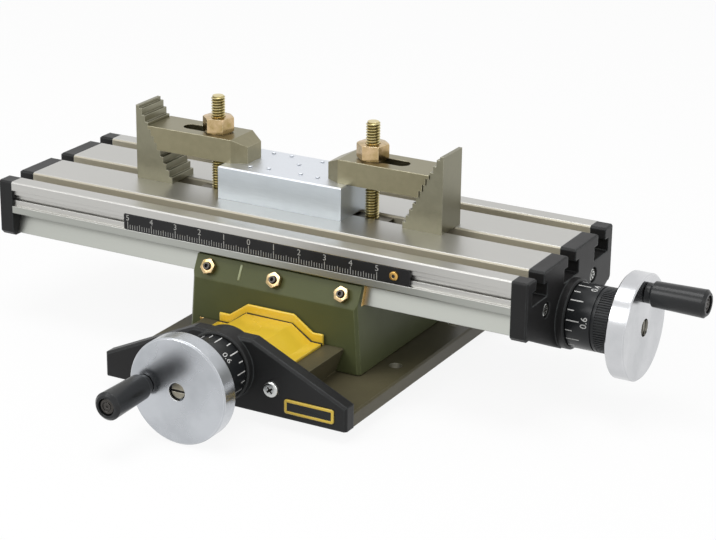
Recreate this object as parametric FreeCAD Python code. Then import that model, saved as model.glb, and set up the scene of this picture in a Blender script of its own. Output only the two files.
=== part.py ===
import FreeCAD, Part
import math
import os
from FreeCAD import Rotation, Vector

# Small cross slide table, millimetres. X runs along the table, Y away from the front
# handwheel, Z up. The origin is at the middle of the underside of the base.

# Overall layout
table_length = 200.0
table_width = 70.0
table_height = 49.0
table_shift = -12.0
x_travel = 134.0
y_travel = 46.0
base_length = 130.0
base_half_width = 47.0

# Base and its dovetail way
flange_height = 5.0
way_top = 14.0
way_half_width = 28.0
dovetail_lean = 20.0
base_groove_half = 7.5
base_groove_floor = 8.0
base_pocket_depth = 4.5
base_pocket_margin = 9.0
mount_hole_diameter = 4.5
mount_pitch_x = 80.0
mount_pitch_y = 45.0
base_corner_radius = 3.0

# Front bracket
bracket_thickness = 5.0
bracket_half_width = 47.3
bracket_end_height = 8.4
bracket_shoulder_height = 9.6
bracket_shoulder_in = 2.6
bracket_plateau_half = 11.5
bracket_top = 25.0
bracket_screw_x = 19.4
bracket_screw_z = 9.6

# Cover over the cross spindle
cover_sheet = 1.0
cover_plateau_half = 9.2
cover_slope_width = 7.4
cover_wing_half = 20.6
cover_rise = 5.2
cover_rim_height = 3.0
cover_gap = 0.6

# Saddle
saddle_cheek = 5.3
saddle_half_width = 32.6
saddle_draft = 4.0
saddle_top_gap = 0.9
saddle_shoulder_height = 7.4
saddle_outer_lean = 27.0
saddle_foot_gap = 0.3
spindle_groove_gap = 1.0
collar_room = 0.7
saddle_edge_chamfer = 1.0

# Gib strips and their adjusting screws
gib_thickness = 1.8
gib_gap = 0.05
gib_back_gap = 0.15
gib_screw_diameter = 2.5
gib_screw_pitch = 26.5
gib_nut_flats = 5.0
gib_nut_height = 2.2
gib_screw_proud = 0.8

# Table extrusion
slab_thickness = 12.1
table_dovetail_height = 7.9
table_dovetail_half = 32.2
table_channel_half = 9.0
table_channel_height = 5.6
slot_neck = 6.4
slot_chamfer = 0.6
slot_neck_depth = 4.0
slot_head = 12.0
slot_head_depth = 5.0
slot_pitch = 25.2
edge_chamfer = 0.4

# Ruler and its channel
channel_from_top = 3.2
channel_height = 6.0
channel_depth = 1.2
undercut_mouth = 2.0
undercut_height = 3.4
undercut_lip = 0.5
undercut_depth = 0.8
ruler_length = 114.0
ruler_middle = 6.2
ruler_side_gap = 0.15
ruler_thickness = 1.1
ruler_screw_from_end = 5.8
ruler_screw_diameter = 1.6
ruler_screw_head = 3.2
ruler_screw_head_height = 0.8

# End plates
plate_thickness = 5.8
plate_below_table = 0.7
plate_corner = 1.4
plate_screw_y = 19.4
plate_screw_from_top = 14.0
plate_screw_diameter = 3.0
plate_screw_head = 5.2
plate_screw_head_height = 1.7
plate_screw_sink = 1.5
plate_screw_length = 9.0
plate_edge_chamfer = 0.5
bulge_setback = 1.3
bulge_half_width = 32.5

# Spindles and what turns with them
x_spindle_drop = 1.3
y_spindle_height = 14.2
spindle_diameter = 6.0
spindle_end_diameter = 5.0
spindle_overrun = 5.0
spindle_collar_diameter = 9.0
spindle_collar_width = 2.4
running_gap = 0.05
axial_gap = 0.15
boss_radius = 12.2
boss_height = 3.0
bush_outer_diameter = 10.0

# Handwheel, dial and grip
wheel_radius = 18.3
wheel_rim_width = 6.8
wheel_chamfer = 0.5
wheel_recess_depth = 1.6
wheel_recess_margin = 3.4
wheel_hub_radius = 6.0
dial_radius = 11.2
dial_scale_width = 9.3
dial_knurl_width = 7.7
dial_groove_depth = 0.5
knurl_count = 48
knurl_depth = 0.45
friction_ring_section = 1.0
friction_ring_width = 1.6
wheel_screw_diameter = 3.0
wheel_screw_head = 5.6
wheel_screw_head_height = 2.0
wheel_counterbore_depth = 2.8
grip_length = 21.5
grip_end_radius = 4.8
grip_root_radius = 4.4
grip_neck_radius = 3.5
grip_orbit = 12.5
grip_pin_radius = 1.6
grip_pin_thread_radius = 1.4
grip_pin_head_radius = 2.7
grip_pin_head_height = 1.2
grip_socket_depth = 1.8

# Spindle nuts
nut_block_length = 14.0
nut_block_half_width = 6.0
nut_block_half_height = 5.0
nut_spigot_radius = 3.0
nut_spigot_height = 1.2
nut_pocket_gap = 0.3
x_nut_offset = 16.0
y_nut_offset = 16.0

# Clamping sets and the block they hold; the sets stand a little left of the table's middle
clamp_shift = -1.7
block_length = 50.0
block_width = 26.0
block_height = 12.0
block_x = -1.0
block_y = 1.0
step_width = 14.0
step_rise = 2.4
step_run = 1.26
step_count = 11
step_top_rise = 1.2
step_land = 1.3
step_foot_inner = 47.1
bar_width = 15.0
bar_thickness = 8.6
bar_toe_from_middle = 16.4
bar_toe_length = 5.4
bar_toe_half_width = 4.5
bar_toe_drop = 2.5
bar_slot_width = 6.0
bar_slot_length = 18.0
bar_tooth_gap = 0.12
stud_diameter = 5.0
stud_from_middle = 31.5
stud_above_table = 34.0
stud_slot_start = 3.6
clamp_nut_flats = 10.0
clamp_nut_height = 5.6
t_nut_length = 14.0
t_nut_side_gap = 0.3
t_nut_top_gap = 0.05

# Small heads and drives
bracket_screw_diameter = 3.0
bracket_screw_head = 5.6
bracket_screw_head_height = 1.8
bracket_screw_length = 12.0
thread_gap = 0.03
hole_gap = 0.2
fine = 0.02

# Values worked out from the ones above
half_base = base_length / 2
bracket_front = -half_base - bracket_thickness
half_table = table_length / 2
half_table_width = table_width / 2
nut_reach = nut_block_length / 2 + spindle_overrun
x_spindle_length = (half_table + plate_thickness + x_travel / 2 - x_nut_offset
                    + nut_reach)
y_spindle_length = half_base + bracket_thickness + y_travel - y_nut_offset + nut_reach
slab_bottom = table_height - slab_thickness
table_bottom = slab_bottom - table_dovetail_height
table_channel_top = table_bottom + table_channel_height
channel_high = table_height - channel_from_top
channel_low = channel_high - channel_height
plate_bottom = table_bottom - plate_below_table
plate_screw_z = table_height - plate_screw_from_top
x_spindle_height = table_bottom - x_spindle_drop
saddle_wall_top = slab_bottom - saddle_top_gap
saddle_kink = saddle_wall_top - saddle_shoulder_height
saddle_half_length = table_dovetail_half + saddle_cheek
lean = math.tan(math.radians(dovetail_lean))
way_root_half = way_half_width - (way_top - flange_height) * lean
table_root_half = table_dovetail_half - (slab_bottom - table_bottom) * lean
saddle_foot = flange_height + saddle_foot_gap
saddle_floor = table_bottom - running_gap
saddle_ceiling = way_top + running_gap
gib_room = gib_gap + gib_thickness + gib_back_gap
groove_half = spindle_diameter / 2 + spindle_groove_gap
x_pocket_floor = x_spindle_height - nut_block_half_height
y_pocket_ceiling = y_spindle_height + nut_block_half_height
right_end_x = table_shift + half_table
left_end_x = table_shift - half_table
plate_outer_x = right_end_x + plate_thickness
plate_counterbore = plate_screw_head_height + plate_screw_sink
clamp_middle = table_shift + clamp_shift
dial_length = dial_scale_width + dial_knurl_width
wheel_back = boss_height + axial_gap + dial_length + axial_gap
wheel_face = wheel_back + wheel_rim_width
slot_floor = table_height - slot_neck_depth - slot_head_depth
slot_shoulder = table_height - slot_neck_depth
step_height = step_rise * step_count + step_top_rise
step_length = step_run * step_count + step_land


def box(x0, x1, y0, y1, z0, z1):
    return Part.makeBox(x1 - x0, y1 - y0, z1 - z0, Vector(x0, y0, z0))


def prism(points, along):
    wire = Part.makePolygon(points + points[:1])
    return Part.Face(wire).extrude(along)


def prism_x(outline, x0, x1):
    return prism([Vector(x0, y, z) for y, z in outline], Vector(x1 - x0, 0, 0))


def prism_y(outline, y0, y1):
    return prism([Vector(x, y0, z) for x, z in outline], Vector(0, y1 - y0, 0))


def prism_z(outline, z0, z1):
    return prism([Vector(x, y, z0) for x, y in outline], Vector(0, 0, z1 - z0))


def rod(start, direction, length, radius):
    return Part.makeCylinder(radius, length, start, direction)


def turned(profile):
    # Profile points are (radius, height) and are spun about the local Z axis.
    points = [Vector(r, 0, h) for r, h in profile]
    wire = Part.makePolygon(points + points[:1])
    return Part.Face(wire).revolve(Vector(0, 0, 0), Vector(0, 0, 1), 360)


def mirrored(half_outline):
    return half_outline + [(-u, v) for u, v in reversed(half_outline)]


def hexagon(flats, height):
    corner = flats / math.sqrt(3)
    turns = [math.radians(60 * k) for k in range(6)]
    return prism_z([(corner * math.cos(a), corner * math.sin(a)) for a in turns], 0, height)


def nut_blank(flats, height):
    # Bevelled on its outer face only.
    corner = flats / math.sqrt(3)
    bevel = (corner - flats / 2) * 0.55
    limit = turned([
        (0, 0), (corner + 0.01, 0), (corner + 0.01, height - bevel),
        (flats / 2 + 0.02, height), (0, height)])
    return hexagon(flats, height).common(limit)


def union(shapes):
    joined = shapes[0]
    for shape in shapes[1:]:
        joined = joined.fuse(shape)
    return joined.removeSplitter()


def cut_all(shape, tools):
    for tool in tools:
        shape = shape.cut(tool)
    return shape.removeSplitter()


def moved(shape, placement):
    copy = shape.copy()
    copy.Placement = placement.multiply(copy.Placement)
    return copy


def edges_near(shape, test):
    return [edge for edge in shape.Edges if test(edge.BoundBox)]


# Base casting
def way_outline(grow, top, root_z):
    root = way_half_width - (way_top - root_z) * lean
    return mirrored([(root + grow, root_z), (way_half_width + (top - way_top) * lean + grow, top)])


def make_base():
    flange = box(-base_half_width, base_half_width, -half_base, half_base, 0, flange_height)
    corners = edges_near(flange, lambda b: b.ZLength > 1 and b.YMin > 0)
    flange = flange.makeFillet(base_corner_radius, corners)
    rims = edges_near(flange, lambda b: b.ZMin > flange_height - 0.01)
    flange = flange.makeChamfer(0.6, rims)
    way = prism_y(way_outline(0, way_top, flange_height - 1), -half_base, half_base)
    body = union([flange, way])
    groove = box(-base_groove_half, base_groove_half, -half_base - 1, half_base + 1,
                 base_groove_floor, way_top + 1)
    pocket_x = way_root_half - 4
    pocket_y = half_base - base_pocket_margin
    pocket = box(-pocket_x, pocket_x, -pocket_y, pocket_y, -1, base_pocket_depth)
    pocket = pocket.makeFillet(4, edges_near(pocket, lambda b: b.ZLength > 1))
    tools = [groove, pocket]
    for x in (-mount_pitch_x / 2, mount_pitch_x / 2):
        for y in (-mount_pitch_y / 2, mount_pitch_y / 2):
            tools.append(rod(Vector(x, y, -1), Vector(0, 0, 1), flange_height + 2,
                             mount_hole_diameter / 2))
    for x in (-bracket_screw_x, bracket_screw_x):
        depth = bracket_screw_length - bracket_thickness + 1
        tools.append(rod(Vector(x, -half_base, bracket_screw_z), Vector(0, 1, 0), depth,
                         bracket_screw_diameter / 2 + thread_gap))
    return cut_all(body, tools)


# Front bracket with the bearing boss of the cross spindle
def make_front_bracket():
    outline = mirrored([
        (bracket_half_width, 0),
        (bracket_half_width, bracket_end_height),
        (bracket_half_width - bracket_shoulder_in, bracket_shoulder_height),
        (bracket_plateau_half, bracket_top)])
    plate = prism_y(outline, bracket_front, -half_base)
    front_rim = edges_near(plate, lambda b: b.YMax < bracket_front + 0.01 and b.ZMax > 1)
    plate = plate.makeChamfer(0.8, front_rim)
    boss = turned([
        (0, -bracket_thickness), (boss_radius, -bracket_thickness),
        (boss_radius, boss_height - 0.4), (boss_radius - 0.4, boss_height), (0, boss_height)])
    body = union([plate, on_y_axis(boss)])
    bore = on_y_axis(rod(Vector(0, 0, -bracket_thickness - 1), Vector(0, 0, 1),
                         bracket_thickness + boss_height + 2, bush_outer_diameter / 2))
    tools = [bore]
    for x in (-bracket_screw_x, bracket_screw_x):
        tools.append(rod(Vector(x, bracket_front - 1, bracket_screw_z), Vector(0, 1, 0),
                         bracket_thickness + 2, bracket_screw_diameter / 2 + hole_gap))
    return cut_all(body, tools)


def pan_screw(diameter, length, head, head_height):
    # Head on top of the local XY plane, shank below it.
    crown = head_height * 0.35
    return turned([
        (0, -length), (diameter / 2, -length), (diameter / 2, 0), (head / 2, 0),
        (head / 2, head_height - crown), (head / 2 - crown, head_height), (0, head_height)])


def make_bracket_screws():
    turn = Rotation(Vector(0, 0, 1), Vector(0, -1, 0))
    screws = []
    for x in (-bracket_screw_x, bracket_screw_x):
        screw = pan_screw(bracket_screw_diameter, bracket_screw_length, bracket_screw_head,
                          bracket_screw_head_height)
        place = FreeCAD.Placement(Vector(x, bracket_front, bracket_screw_z), turn)
        screws.append(moved(screw, place))
    return Part.makeCompound(screws)


# Bent sheet cover over the front end of the cross spindle
def cover_outline(low, high):
    slope_foot = cover_plateau_half + cover_slope_width
    upper = [(cover_wing_half, high), (slope_foot, high),
             (cover_plateau_half, high + cover_rise)]
    lower = [(cover_plateau_half - cover_sheet * 0.3, low + cover_rise),
             (slope_foot - cover_sheet * 0.3, low), (cover_wing_half, low)]
    left_upper = [(-x, z) for x, z in reversed(upper)]
    left_lower = [(-x, z) for x, z in reversed(lower)]
    return upper + left_upper + left_lower + lower


def make_spindle_cover():
    back = -saddle_half_length - cover_gap
    sheet_top = way_top + fine + cover_sheet
    skin = prism_y(cover_outline(way_top + fine, sheet_top), -half_base, back)
    rim = prism_y(cover_outline(sheet_top - 0.3, sheet_top + cover_rim_height),
                  back - cover_sheet, back)
    return union([skin, rim])


# Saddle with both female dovetails
def saddle_face_x(z):
    # The side faces widen a little towards the foot.
    return saddle_half_width + (saddle_kink - z) * math.tan(math.radians(saddle_draft))


def saddle_block():
    y = saddle_half_length
    lower = prism_y(mirrored([
        (saddle_face_x(saddle_foot), saddle_foot), (saddle_half_width, saddle_kink)]), -y, y)
    inset = (saddle_wall_top - saddle_kink) * math.tan(math.radians(saddle_outer_lean))
    outline = mirrored([(y, saddle_kink), (y - inset, saddle_wall_top)])
    upper = prism_x(outline, -saddle_half_width, saddle_half_width)
    body = union([lower, upper])
    posts = edges_near(body, lambda b: b.ZMin < saddle_foot + 0.1 and b.ZMax > saddle_kink - 0.1)
    return body.makeChamfer(saddle_edge_chamfer, posts)


def table_way_cut():
    # Straight fit on the rear flank, room for the gib on the front flank.
    rear = table_dovetail_half + running_gap
    front = table_dovetail_half + gib_room
    rise = saddle_wall_top + 2 - saddle_floor
    outline = [(-front, saddle_floor), (rear, saddle_floor),
               (rear - rise * lean, saddle_floor + rise),
               (-front + rise * lean, saddle_floor + rise)]
    return prism_x(outline, -saddle_half_width - 5, saddle_half_width + 5)


def base_way_cut():
    # Straight fit on the right flank, room for the gib on the left flank.
    right = way_half_width + running_gap
    left = way_half_width + gib_room
    drop = saddle_ceiling - saddle_foot + 2
    outline = [(right, saddle_ceiling), (-left, saddle_ceiling),
               (-left + drop * lean, saddle_ceiling - drop),
               (right - drop * lean, saddle_ceiling - drop)]
    return prism_y(outline, -saddle_half_length - 5, saddle_half_length + 5)


def x_gib_screw_height():
    return (saddle_kink + saddle_wall_top) / 2 + 0.2


def x_gib_screw_start():
    # Point on the leaning outer face of the front wall, midway up.
    rise = x_gib_screw_height() - saddle_kink
    return -saddle_half_length + rise * math.tan(math.radians(saddle_outer_lean))


def x_gib_screw_placement(x):
    tilt = math.radians(saddle_outer_lean)
    outward = Vector(0, -math.cos(tilt), math.sin(tilt))
    place = Vector(x, x_gib_screw_start(), x_gib_screw_height())
    return FreeCAD.Placement(place, Rotation(Vector(0, 0, 1), outward))


def y_gib_screw_height():
    return (way_top + saddle_foot) / 2


def y_gib_screw_placement(y):
    # Square to the drafted side face.
    tilt = math.radians(saddle_draft)
    place = Vector(-saddle_face_x(y_gib_screw_height()), y, y_gib_screw_height())
    outward = Vector(-math.cos(tilt), 0, math.sin(tilt))
    return FreeCAD.Placement(place, Rotation(Vector(0, 0, 1), outward))


def gib_positions():
    return (-gib_screw_pitch, 0, gib_screw_pitch)


def spindle_ways():
    # Grooves that clear the spindles, with a wider mouth for the collar of the long one.
    g = groove_half
    x_end = saddle_half_width + saddle_cheek
    y_end = saddle_half_length + saddle_cheek
    mouth = spindle_collar_diameter / 2 + collar_room
    deep = spindle_collar_width + collar_room
    return [
        box(-x_end, x_end, -g, g, x_spindle_height - g, saddle_floor + 1),
        box(-g, g, -y_end, y_end, saddle_foot - 1, y_spindle_height + g),
        box(saddle_half_width - deep, x_end, -mouth, mouth, x_spindle_height - mouth,
            saddle_floor + 1)]


def nut_pockets():
    along = nut_block_length / 2 + nut_pocket_gap
    across = nut_block_half_width + nut_pocket_gap
    up = Vector(0, 0, 1)
    depth = nut_spigot_height + fine + 1
    radius = nut_spigot_radius + fine
    return [
        box(x_nut_offset - along, x_nut_offset + along, -across, across, x_pocket_floor,
            saddle_floor + 1),
        box(-across, across, -y_nut_offset - along, -y_nut_offset + along, saddle_foot - 1,
            y_pocket_ceiling),
        rod(Vector(x_nut_offset, 0, x_pocket_floor + 1), -up, depth, radius),
        rod(Vector(0, -y_nut_offset, y_pocket_ceiling - 1), up, depth, radius)]


def gib_screw_hole(reach):
    return rod(Vector(0, 0, -reach - gib_thickness), Vector(0, 0, 1),
               reach + gib_thickness + saddle_cheek, gib_screw_diameter / 2 + thread_gap)


def make_saddle():
    tools = [table_way_cut(), base_way_cut()] + spindle_ways() + nut_pockets()
    for along in gib_positions():
        tools.append(moved(gib_screw_hole(gib_screw_reach_x()), x_gib_screw_placement(along)))
        tools.append(moved(gib_screw_hole(gib_screw_reach_y()), y_gib_screw_placement(along)))
    return cut_all(saddle_block(), tools)


# Gib strips
def make_x_gib():
    low = saddle_floor + 0.1
    high = saddle_wall_top - 0.1
    outer = -(table_dovetail_half + gib_gap + gib_thickness) + (low - saddle_floor) * lean
    inner = outer + gib_thickness
    rise = (high - low) * lean
    outline = [(outer, low), (inner, low), (inner + rise, high), (outer + rise, high)]
    return prism_x(outline, -saddle_half_width, saddle_half_width)


def make_y_gib():
    high = saddle_ceiling - 0.1
    low = saddle_foot + 0.1
    outer = -(way_half_width + gib_gap + gib_thickness) + (saddle_ceiling - high) * lean
    inner = outer + gib_thickness
    drop = (high - low) * lean
    outline = [(outer, high), (inner, high), (inner + drop, low), (outer + drop, low)]
    return prism_y(outline, -saddle_half_length, saddle_half_length)


def gib_screw_reach_x():
    # Straight distance from the outer face to the gib, along the screw.
    wall_inner = table_dovetail_half + gib_gap + gib_thickness
    height = x_gib_screw_height() - saddle_floor
    across = -x_gib_screw_start() - wall_inner + height * lean
    tilt = math.radians(saddle_outer_lean)
    return across / (math.cos(tilt) + math.sin(tilt) * lean) - 0.5


def gib_screw_reach_y():
    face = saddle_face_x(y_gib_screw_height())
    inner = way_half_width + gib_gap + gib_thickness
    return face - inner + (saddle_ceiling - y_gib_screw_height()) * lean - 0.6


def gib_screw(reach):
    top = gib_nut_height + gib_screw_proud
    shank = rod(Vector(0, 0, -reach), Vector(0, 0, 1), reach + top, gib_screw_diameter / 2)
    socket = moved(hexagon(1.3, 1.4), FreeCAD.Placement(Vector(0, 0, top - 1.2), Rotation()))
    return shank.cut(socket)


def lock_nut():
    bore = rod(Vector(0, 0, -1), Vector(0, 0, 1), gib_nut_height + 2,
               gib_screw_diameter / 2 + thread_gap)
    body = nut_blank(gib_nut_flats, gib_nut_height).cut(bore)
    return moved(body, FreeCAD.Placement(Vector(0, 0, fine), Rotation(Vector(0, 0, 1), 30)))


def make_x_gib_screws():
    screw = gib_screw(gib_screw_reach_x())
    return Part.makeCompound([moved(screw, x_gib_screw_placement(x)) for x in gib_positions()])


def make_x_gib_nuts():
    return Part.makeCompound([moved(lock_nut(), x_gib_screw_placement(x))
                              for x in gib_positions()])


def make_y_gib_screws():
    screw = gib_screw(gib_screw_reach_y())
    return Part.makeCompound([moved(screw, y_gib_screw_placement(y)) for y in gib_positions()])


def make_y_gib_nuts():
    return Part.makeCompound([moved(lock_nut(), y_gib_screw_placement(y))
                              for y in gib_positions()])


# Spindle nuts, seated in pockets of the saddle; local X is the spindle's line
def spindle_nut(pocket, side):
    # The spigot points into the wall of the pocket: side is -1 for down and 1 for up.
    half = nut_block_length / 2
    body = box(-half, half, -nut_block_half_width, nut_block_half_width,
               -nut_block_half_height, nut_block_half_height)
    spigot = rod(Vector(0, 0, side * (nut_block_half_height - 1)), Vector(0, 0, side),
                 nut_spigot_height + 1, nut_spigot_radius)
    bore = rod(Vector(-half - 1, 0, 0), Vector(1, 0, 0), nut_block_length + 2,
               spindle_diameter / 2 + running_gap)
    return moved(union([body, spigot]).cut(bore), pocket)


def make_x_spindle_nut():
    place = Vector(x_nut_offset, 0, x_spindle_height)
    return spindle_nut(FreeCAD.Placement(place, Rotation()), -1)


def make_y_spindle_nut():
    place = Vector(0, -y_nut_offset, y_spindle_height)
    return spindle_nut(FreeCAD.Placement(place, Rotation(Vector(0, 0, 1), 90)), 1)


# Table extrusion with three T-slots
def slot_cut(y, x0, x1):
    neck = slot_neck / 2
    mouth = neck + slot_chamfer
    half_head = slot_head / 2
    top = table_height
    outline = mirrored([
        (half_head, slot_floor), (half_head, slot_shoulder), (neck, slot_shoulder),
        (neck, top - slot_chamfer), (mouth, top), (mouth, top + 1)])
    return prism_x([(y + u, v) for u, v in outline], x0, x1)


def ruler_channel_points():
    floor_y = half_table_width - channel_depth
    lip_y = floor_y - undercut_lip
    back_y = lip_y - undercut_depth
    middle = (channel_low + channel_high) / 2
    mouth = undercut_mouth / 2
    tall = undercut_height / 2
    return [(half_table_width, channel_low), (floor_y, channel_low),
            (floor_y, middle - mouth), (lip_y, middle - mouth), (lip_y, middle - tall),
            (back_y, middle - tall), (back_y, middle + tall), (lip_y, middle + tall),
            (lip_y, middle + mouth), (floor_y, middle + mouth),
            (floor_y, channel_high), (half_table_width, channel_high)]


def make_table_top():
    half = half_table_width
    side = [(table_channel_half, table_channel_top), (table_channel_half, table_bottom),
            (table_dovetail_half, table_bottom), (table_root_half, slab_bottom),
            (half - edge_chamfer, slab_bottom), (half, slab_bottom + edge_chamfer)]
    side += ruler_channel_points()
    side += [(half, table_height - edge_chamfer), (half - edge_chamfer, table_height)]
    body = prism_x(mirrored(side), left_end_x, right_end_x)
    tools = [slot_cut(y, left_end_x - 1, right_end_x + 1) for y in (-slot_pitch, 0, slot_pitch)]
    depth = plate_screw_length - (plate_thickness - plate_counterbore) + 1
    for y in (-plate_screw_y, plate_screw_y):
        radius = plate_screw_diameter / 2 + thread_gap
        tools.append(rod(Vector(right_end_x - depth, y, plate_screw_z), Vector(1, 0, 0),
                         depth + 1, radius))
        tools.append(rod(Vector(left_end_x - 1, y, plate_screw_z), Vector(1, 0, 0),
                         depth + 1, radius))
    return cut_all(body, tools)


# End plates, notched so that the slots stay open; outward is 1 for right and -1 for left
def plate_blank(outer, outward):
    inner = outer - outward * plate_thickness
    blank = box(min(inner, outer), max(inner, outer), -half_table_width, half_table_width,
                plate_bottom, table_height)
    feet = edges_near(blank, lambda b: b.XLength > 1 and b.ZMax < plate_bottom + 1)
    blank = blank.makeChamfer(plate_corner, feet)
    tops = edges_near(blank, lambda b: b.XLength > 1 and b.ZMin > table_height - 0.1)
    blank = blank.makeFillet(0.8, tops)
    rim = edges_near(blank, lambda b: abs(b.XMin - outer) < 0.01 and abs(b.XMax - outer) < 0.01)
    return blank.makeChamfer(plate_edge_chamfer, rim)


def plate_cuts(outer, outward):
    inner = outer - outward * plate_thickness
    low = min(inner, outer) - 1
    high = max(inner, outer) + 1
    tools = [slot_cut(y, low, high) for y in (-slot_pitch, 0, slot_pitch)]
    inward = Vector(-outward, 0, 0)
    for y in (-plate_screw_y, plate_screw_y):
        start = Vector(outer + outward, y, plate_screw_z)
        tools.append(rod(start, inward, plate_thickness + 2, plate_screw_diameter / 2 + hole_gap))
        tools.append(rod(start, inward, plate_counterbore + 1, plate_screw_head / 2 + hole_gap))
    return tools


def make_right_end_plate():
    x0 = right_end_x
    x1 = plate_outer_x
    low = x_spindle_height - boss_radius
    bulge = prism_x(mirrored([
        (6, low + 1.2), (bulge_half_width, plate_bottom + 0.5),
        (bulge_half_width, plate_bottom + 2)]), x0 + bulge_setback, x1)
    hub = turned([
        (0, bulge_setback - plate_thickness), (boss_radius, bulge_setback - plate_thickness),
        (boss_radius, boss_height - 0.4), (boss_radius - 0.4, boss_height), (0, boss_height)])
    body = union([plate_blank(x1, 1), bulge, on_x_axis(hub)])
    bore = on_x_axis(rod(Vector(0, 0, -plate_thickness - 1), Vector(0, 0, 1),
                         plate_thickness + boss_height + 2, bush_outer_diameter / 2))
    collar_room = on_x_axis(rod(Vector(0, 0, -plate_thickness - 1), Vector(0, 0, 1),
                                1 + bulge_setback, spindle_collar_diameter / 2 + 1))
    return cut_all(body, plate_cuts(x1, 1) + [bore, collar_room])


def make_left_end_plate():
    outer = left_end_x - plate_thickness
    return cut_all(plate_blank(outer, -1), plate_cuts(outer, -1))


def plate_screws(outer, outward):
    turn = Rotation(Vector(0, 0, 1), Vector(outward, 0, 0))
    seat = outer - outward * plate_counterbore
    screws = []
    for y in (-plate_screw_y, plate_screw_y):
        screw = pan_screw(plate_screw_diameter, plate_screw_length, plate_screw_head,
                          plate_screw_head_height)
        place = FreeCAD.Placement(Vector(seat, y, plate_screw_z), turn)
        screws.append(moved(screw, place))
    return Part.makeCompound(screws)


# Local frame of a spindle: Z points outward, zero at the face that carries the boss
def on_x_axis(shape):
    turn = Rotation(Vector(0, 0, 1), Vector(1, 0, 0))
    return moved(shape, FreeCAD.Placement(Vector(plate_outer_x, 0, x_spindle_height), turn))


def on_y_axis(shape):
    turn = Rotation(Vector(0, 0, 1), Vector(0, -1, 0))
    return moved(shape, FreeCAD.Placement(Vector(0, bracket_front, y_spindle_height), turn))


def bearing_bush(wall, setback):
    body = rod(Vector(0, 0, setback - wall), Vector(0, 0, 1), wall - setback + boss_height,
               bush_outer_diameter / 2)
    bore = rod(Vector(0, 0, -wall - 1), Vector(0, 0, 1), wall + boss_height + 2,
               spindle_diameter / 2 + running_gap)
    return body.cut(bore)


def spindle(length, wall, setback):
    inner = setback - wall - axial_gap
    journal = spindle_diameter / 2
    end = spindle_end_diameter / 2
    tip = wheel_face - wheel_counterbore_depth - 0.6
    collar = spindle_collar_diameter / 2
    body = turned([
        (0, -length), (journal - 0.6, -length), (journal, -length + 0.6),
        (journal, inner - spindle_collar_width), (collar, inner - spindle_collar_width),
        (collar, inner), (journal, inner), (journal, boss_height + axial_gap - 0.05),
        (end, boss_height + axial_gap - 0.05), (end, tip), (0, tip)])
    tapped = rod(Vector(0, 0, tip - 9), Vector(0, 0, 1), 10,
                 wheel_screw_diameter / 2 + thread_gap)
    return body.cut(tapped)


def handwheel():
    r = wheel_radius
    c = wheel_chamfer
    back = wheel_back
    face = wheel_face
    hub = wheel_hub_radius
    recess = back + wheel_recess_depth
    counter = face - wheel_counterbore_depth
    bore = spindle_end_diameter / 2 + fine
    screw = wheel_screw_diameter / 2 + hole_gap
    seat = wheel_screw_head / 2 + 0.3
    groove = hub - friction_ring_section
    ring_at = boss_height + axial_gap + dial_length / 2
    body = turned([
        (bore, boss_height + axial_gap), (hub, boss_height + axial_gap),
        (hub, ring_at - friction_ring_width / 2), (groove, ring_at - friction_ring_width / 2),
        (groove, ring_at + friction_ring_width / 2), (hub, ring_at + friction_ring_width / 2),
        (hub, back), (dial_radius + 1, back), (dial_radius + 2, recess),
        (r - wheel_recess_margin, recess), (r - wheel_recess_margin + 0.6, back),
        (r - c, back), (r, back + c), (r, face - c), (r - c, face),
        (seat, face), (seat, counter), (screw, counter), (screw, counter - 0.6),
        (bore, counter - 0.6)])
    tapped = rod(Vector(-grip_orbit, 0, face - 5), Vector(0, 0, 1), 6,
                 grip_pin_thread_radius + thread_gap)
    return body.cut(tapped)


def dial():
    r = dial_radius
    low = boss_height + axial_gap
    mid = low + dial_scale_width
    high = mid + dial_knurl_width
    bore = wheel_hub_radius + running_gap
    body = turned([
        (bore, low), (r - 0.3, low), (r, low + 0.3), (r, mid - 0.6),
        (r - dial_groove_depth, mid - 0.6), (r - dial_groove_depth, mid),
        (r, mid), (r, high - 0.3), (r - 0.3, high), (bore, high)])
    cutter = prism_z([(r - knurl_depth, 0), (r + 0.6, -0.55), (r + 0.6, 0.55)], mid + 0.8, high - 0.8)
    step = 360.0 / knurl_count
    cutters = []
    for k in range(knurl_count):
        cutters.append(moved(cutter, FreeCAD.Placement(
            Vector(0, 0, 0), Rotation(Vector(0, 0, 1), k * step))))
    return body.cut(Part.makeCompound(cutters))


def friction_ring():
    middle = boss_height + axial_gap + dial_length / 2
    low = middle - friction_ring_width / 2 + fine
    high = middle + friction_ring_width / 2 - fine
    inner = wheel_hub_radius - friction_ring_section + fine
    outer = wheel_hub_radius + running_gap - fine
    return turned([(inner, low), (outer, low), (outer, high), (inner, high)])


def wheel_screw():
    seat = wheel_face - wheel_counterbore_depth
    screw = turned([
        (0, seat - 7.5), (wheel_screw_diameter / 2, seat - 7.5), (wheel_screw_diameter / 2, seat),
        (wheel_screw_head / 2, seat), (wheel_screw_head / 2, seat + wheel_screw_head_height - 0.3),
        (wheel_screw_head / 2 - 0.3, seat + wheel_screw_head_height),
        (0, seat + wheel_screw_head_height)])
    half = wheel_screw_head / 2 + 1
    slit = box(-0.4, 0.4, -half, half, seat + wheel_screw_head_height - 0.9,
               seat + wheel_screw_head_height + 1)
    return screw.cut(slit)


def at_grip(shape):
    return moved(shape, FreeCAD.Placement(Vector(-grip_orbit, 0, wheel_face), Rotation()))


def grip():
    low = 0.3
    bore = grip_pin_radius + running_gap
    socket = grip_pin_head_radius + 0.3
    end = grip_length
    return at_grip(turned([
        (bore, low), (grip_neck_radius, low), (grip_neck_radius, low + 1.7),
        (grip_root_radius, low + 2.6), (grip_end_radius, end - 1.0),
        (grip_end_radius - 1.0, end), (socket, end), (socket, end - grip_socket_depth),
        (bore, end - grip_socket_depth)]))


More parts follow.
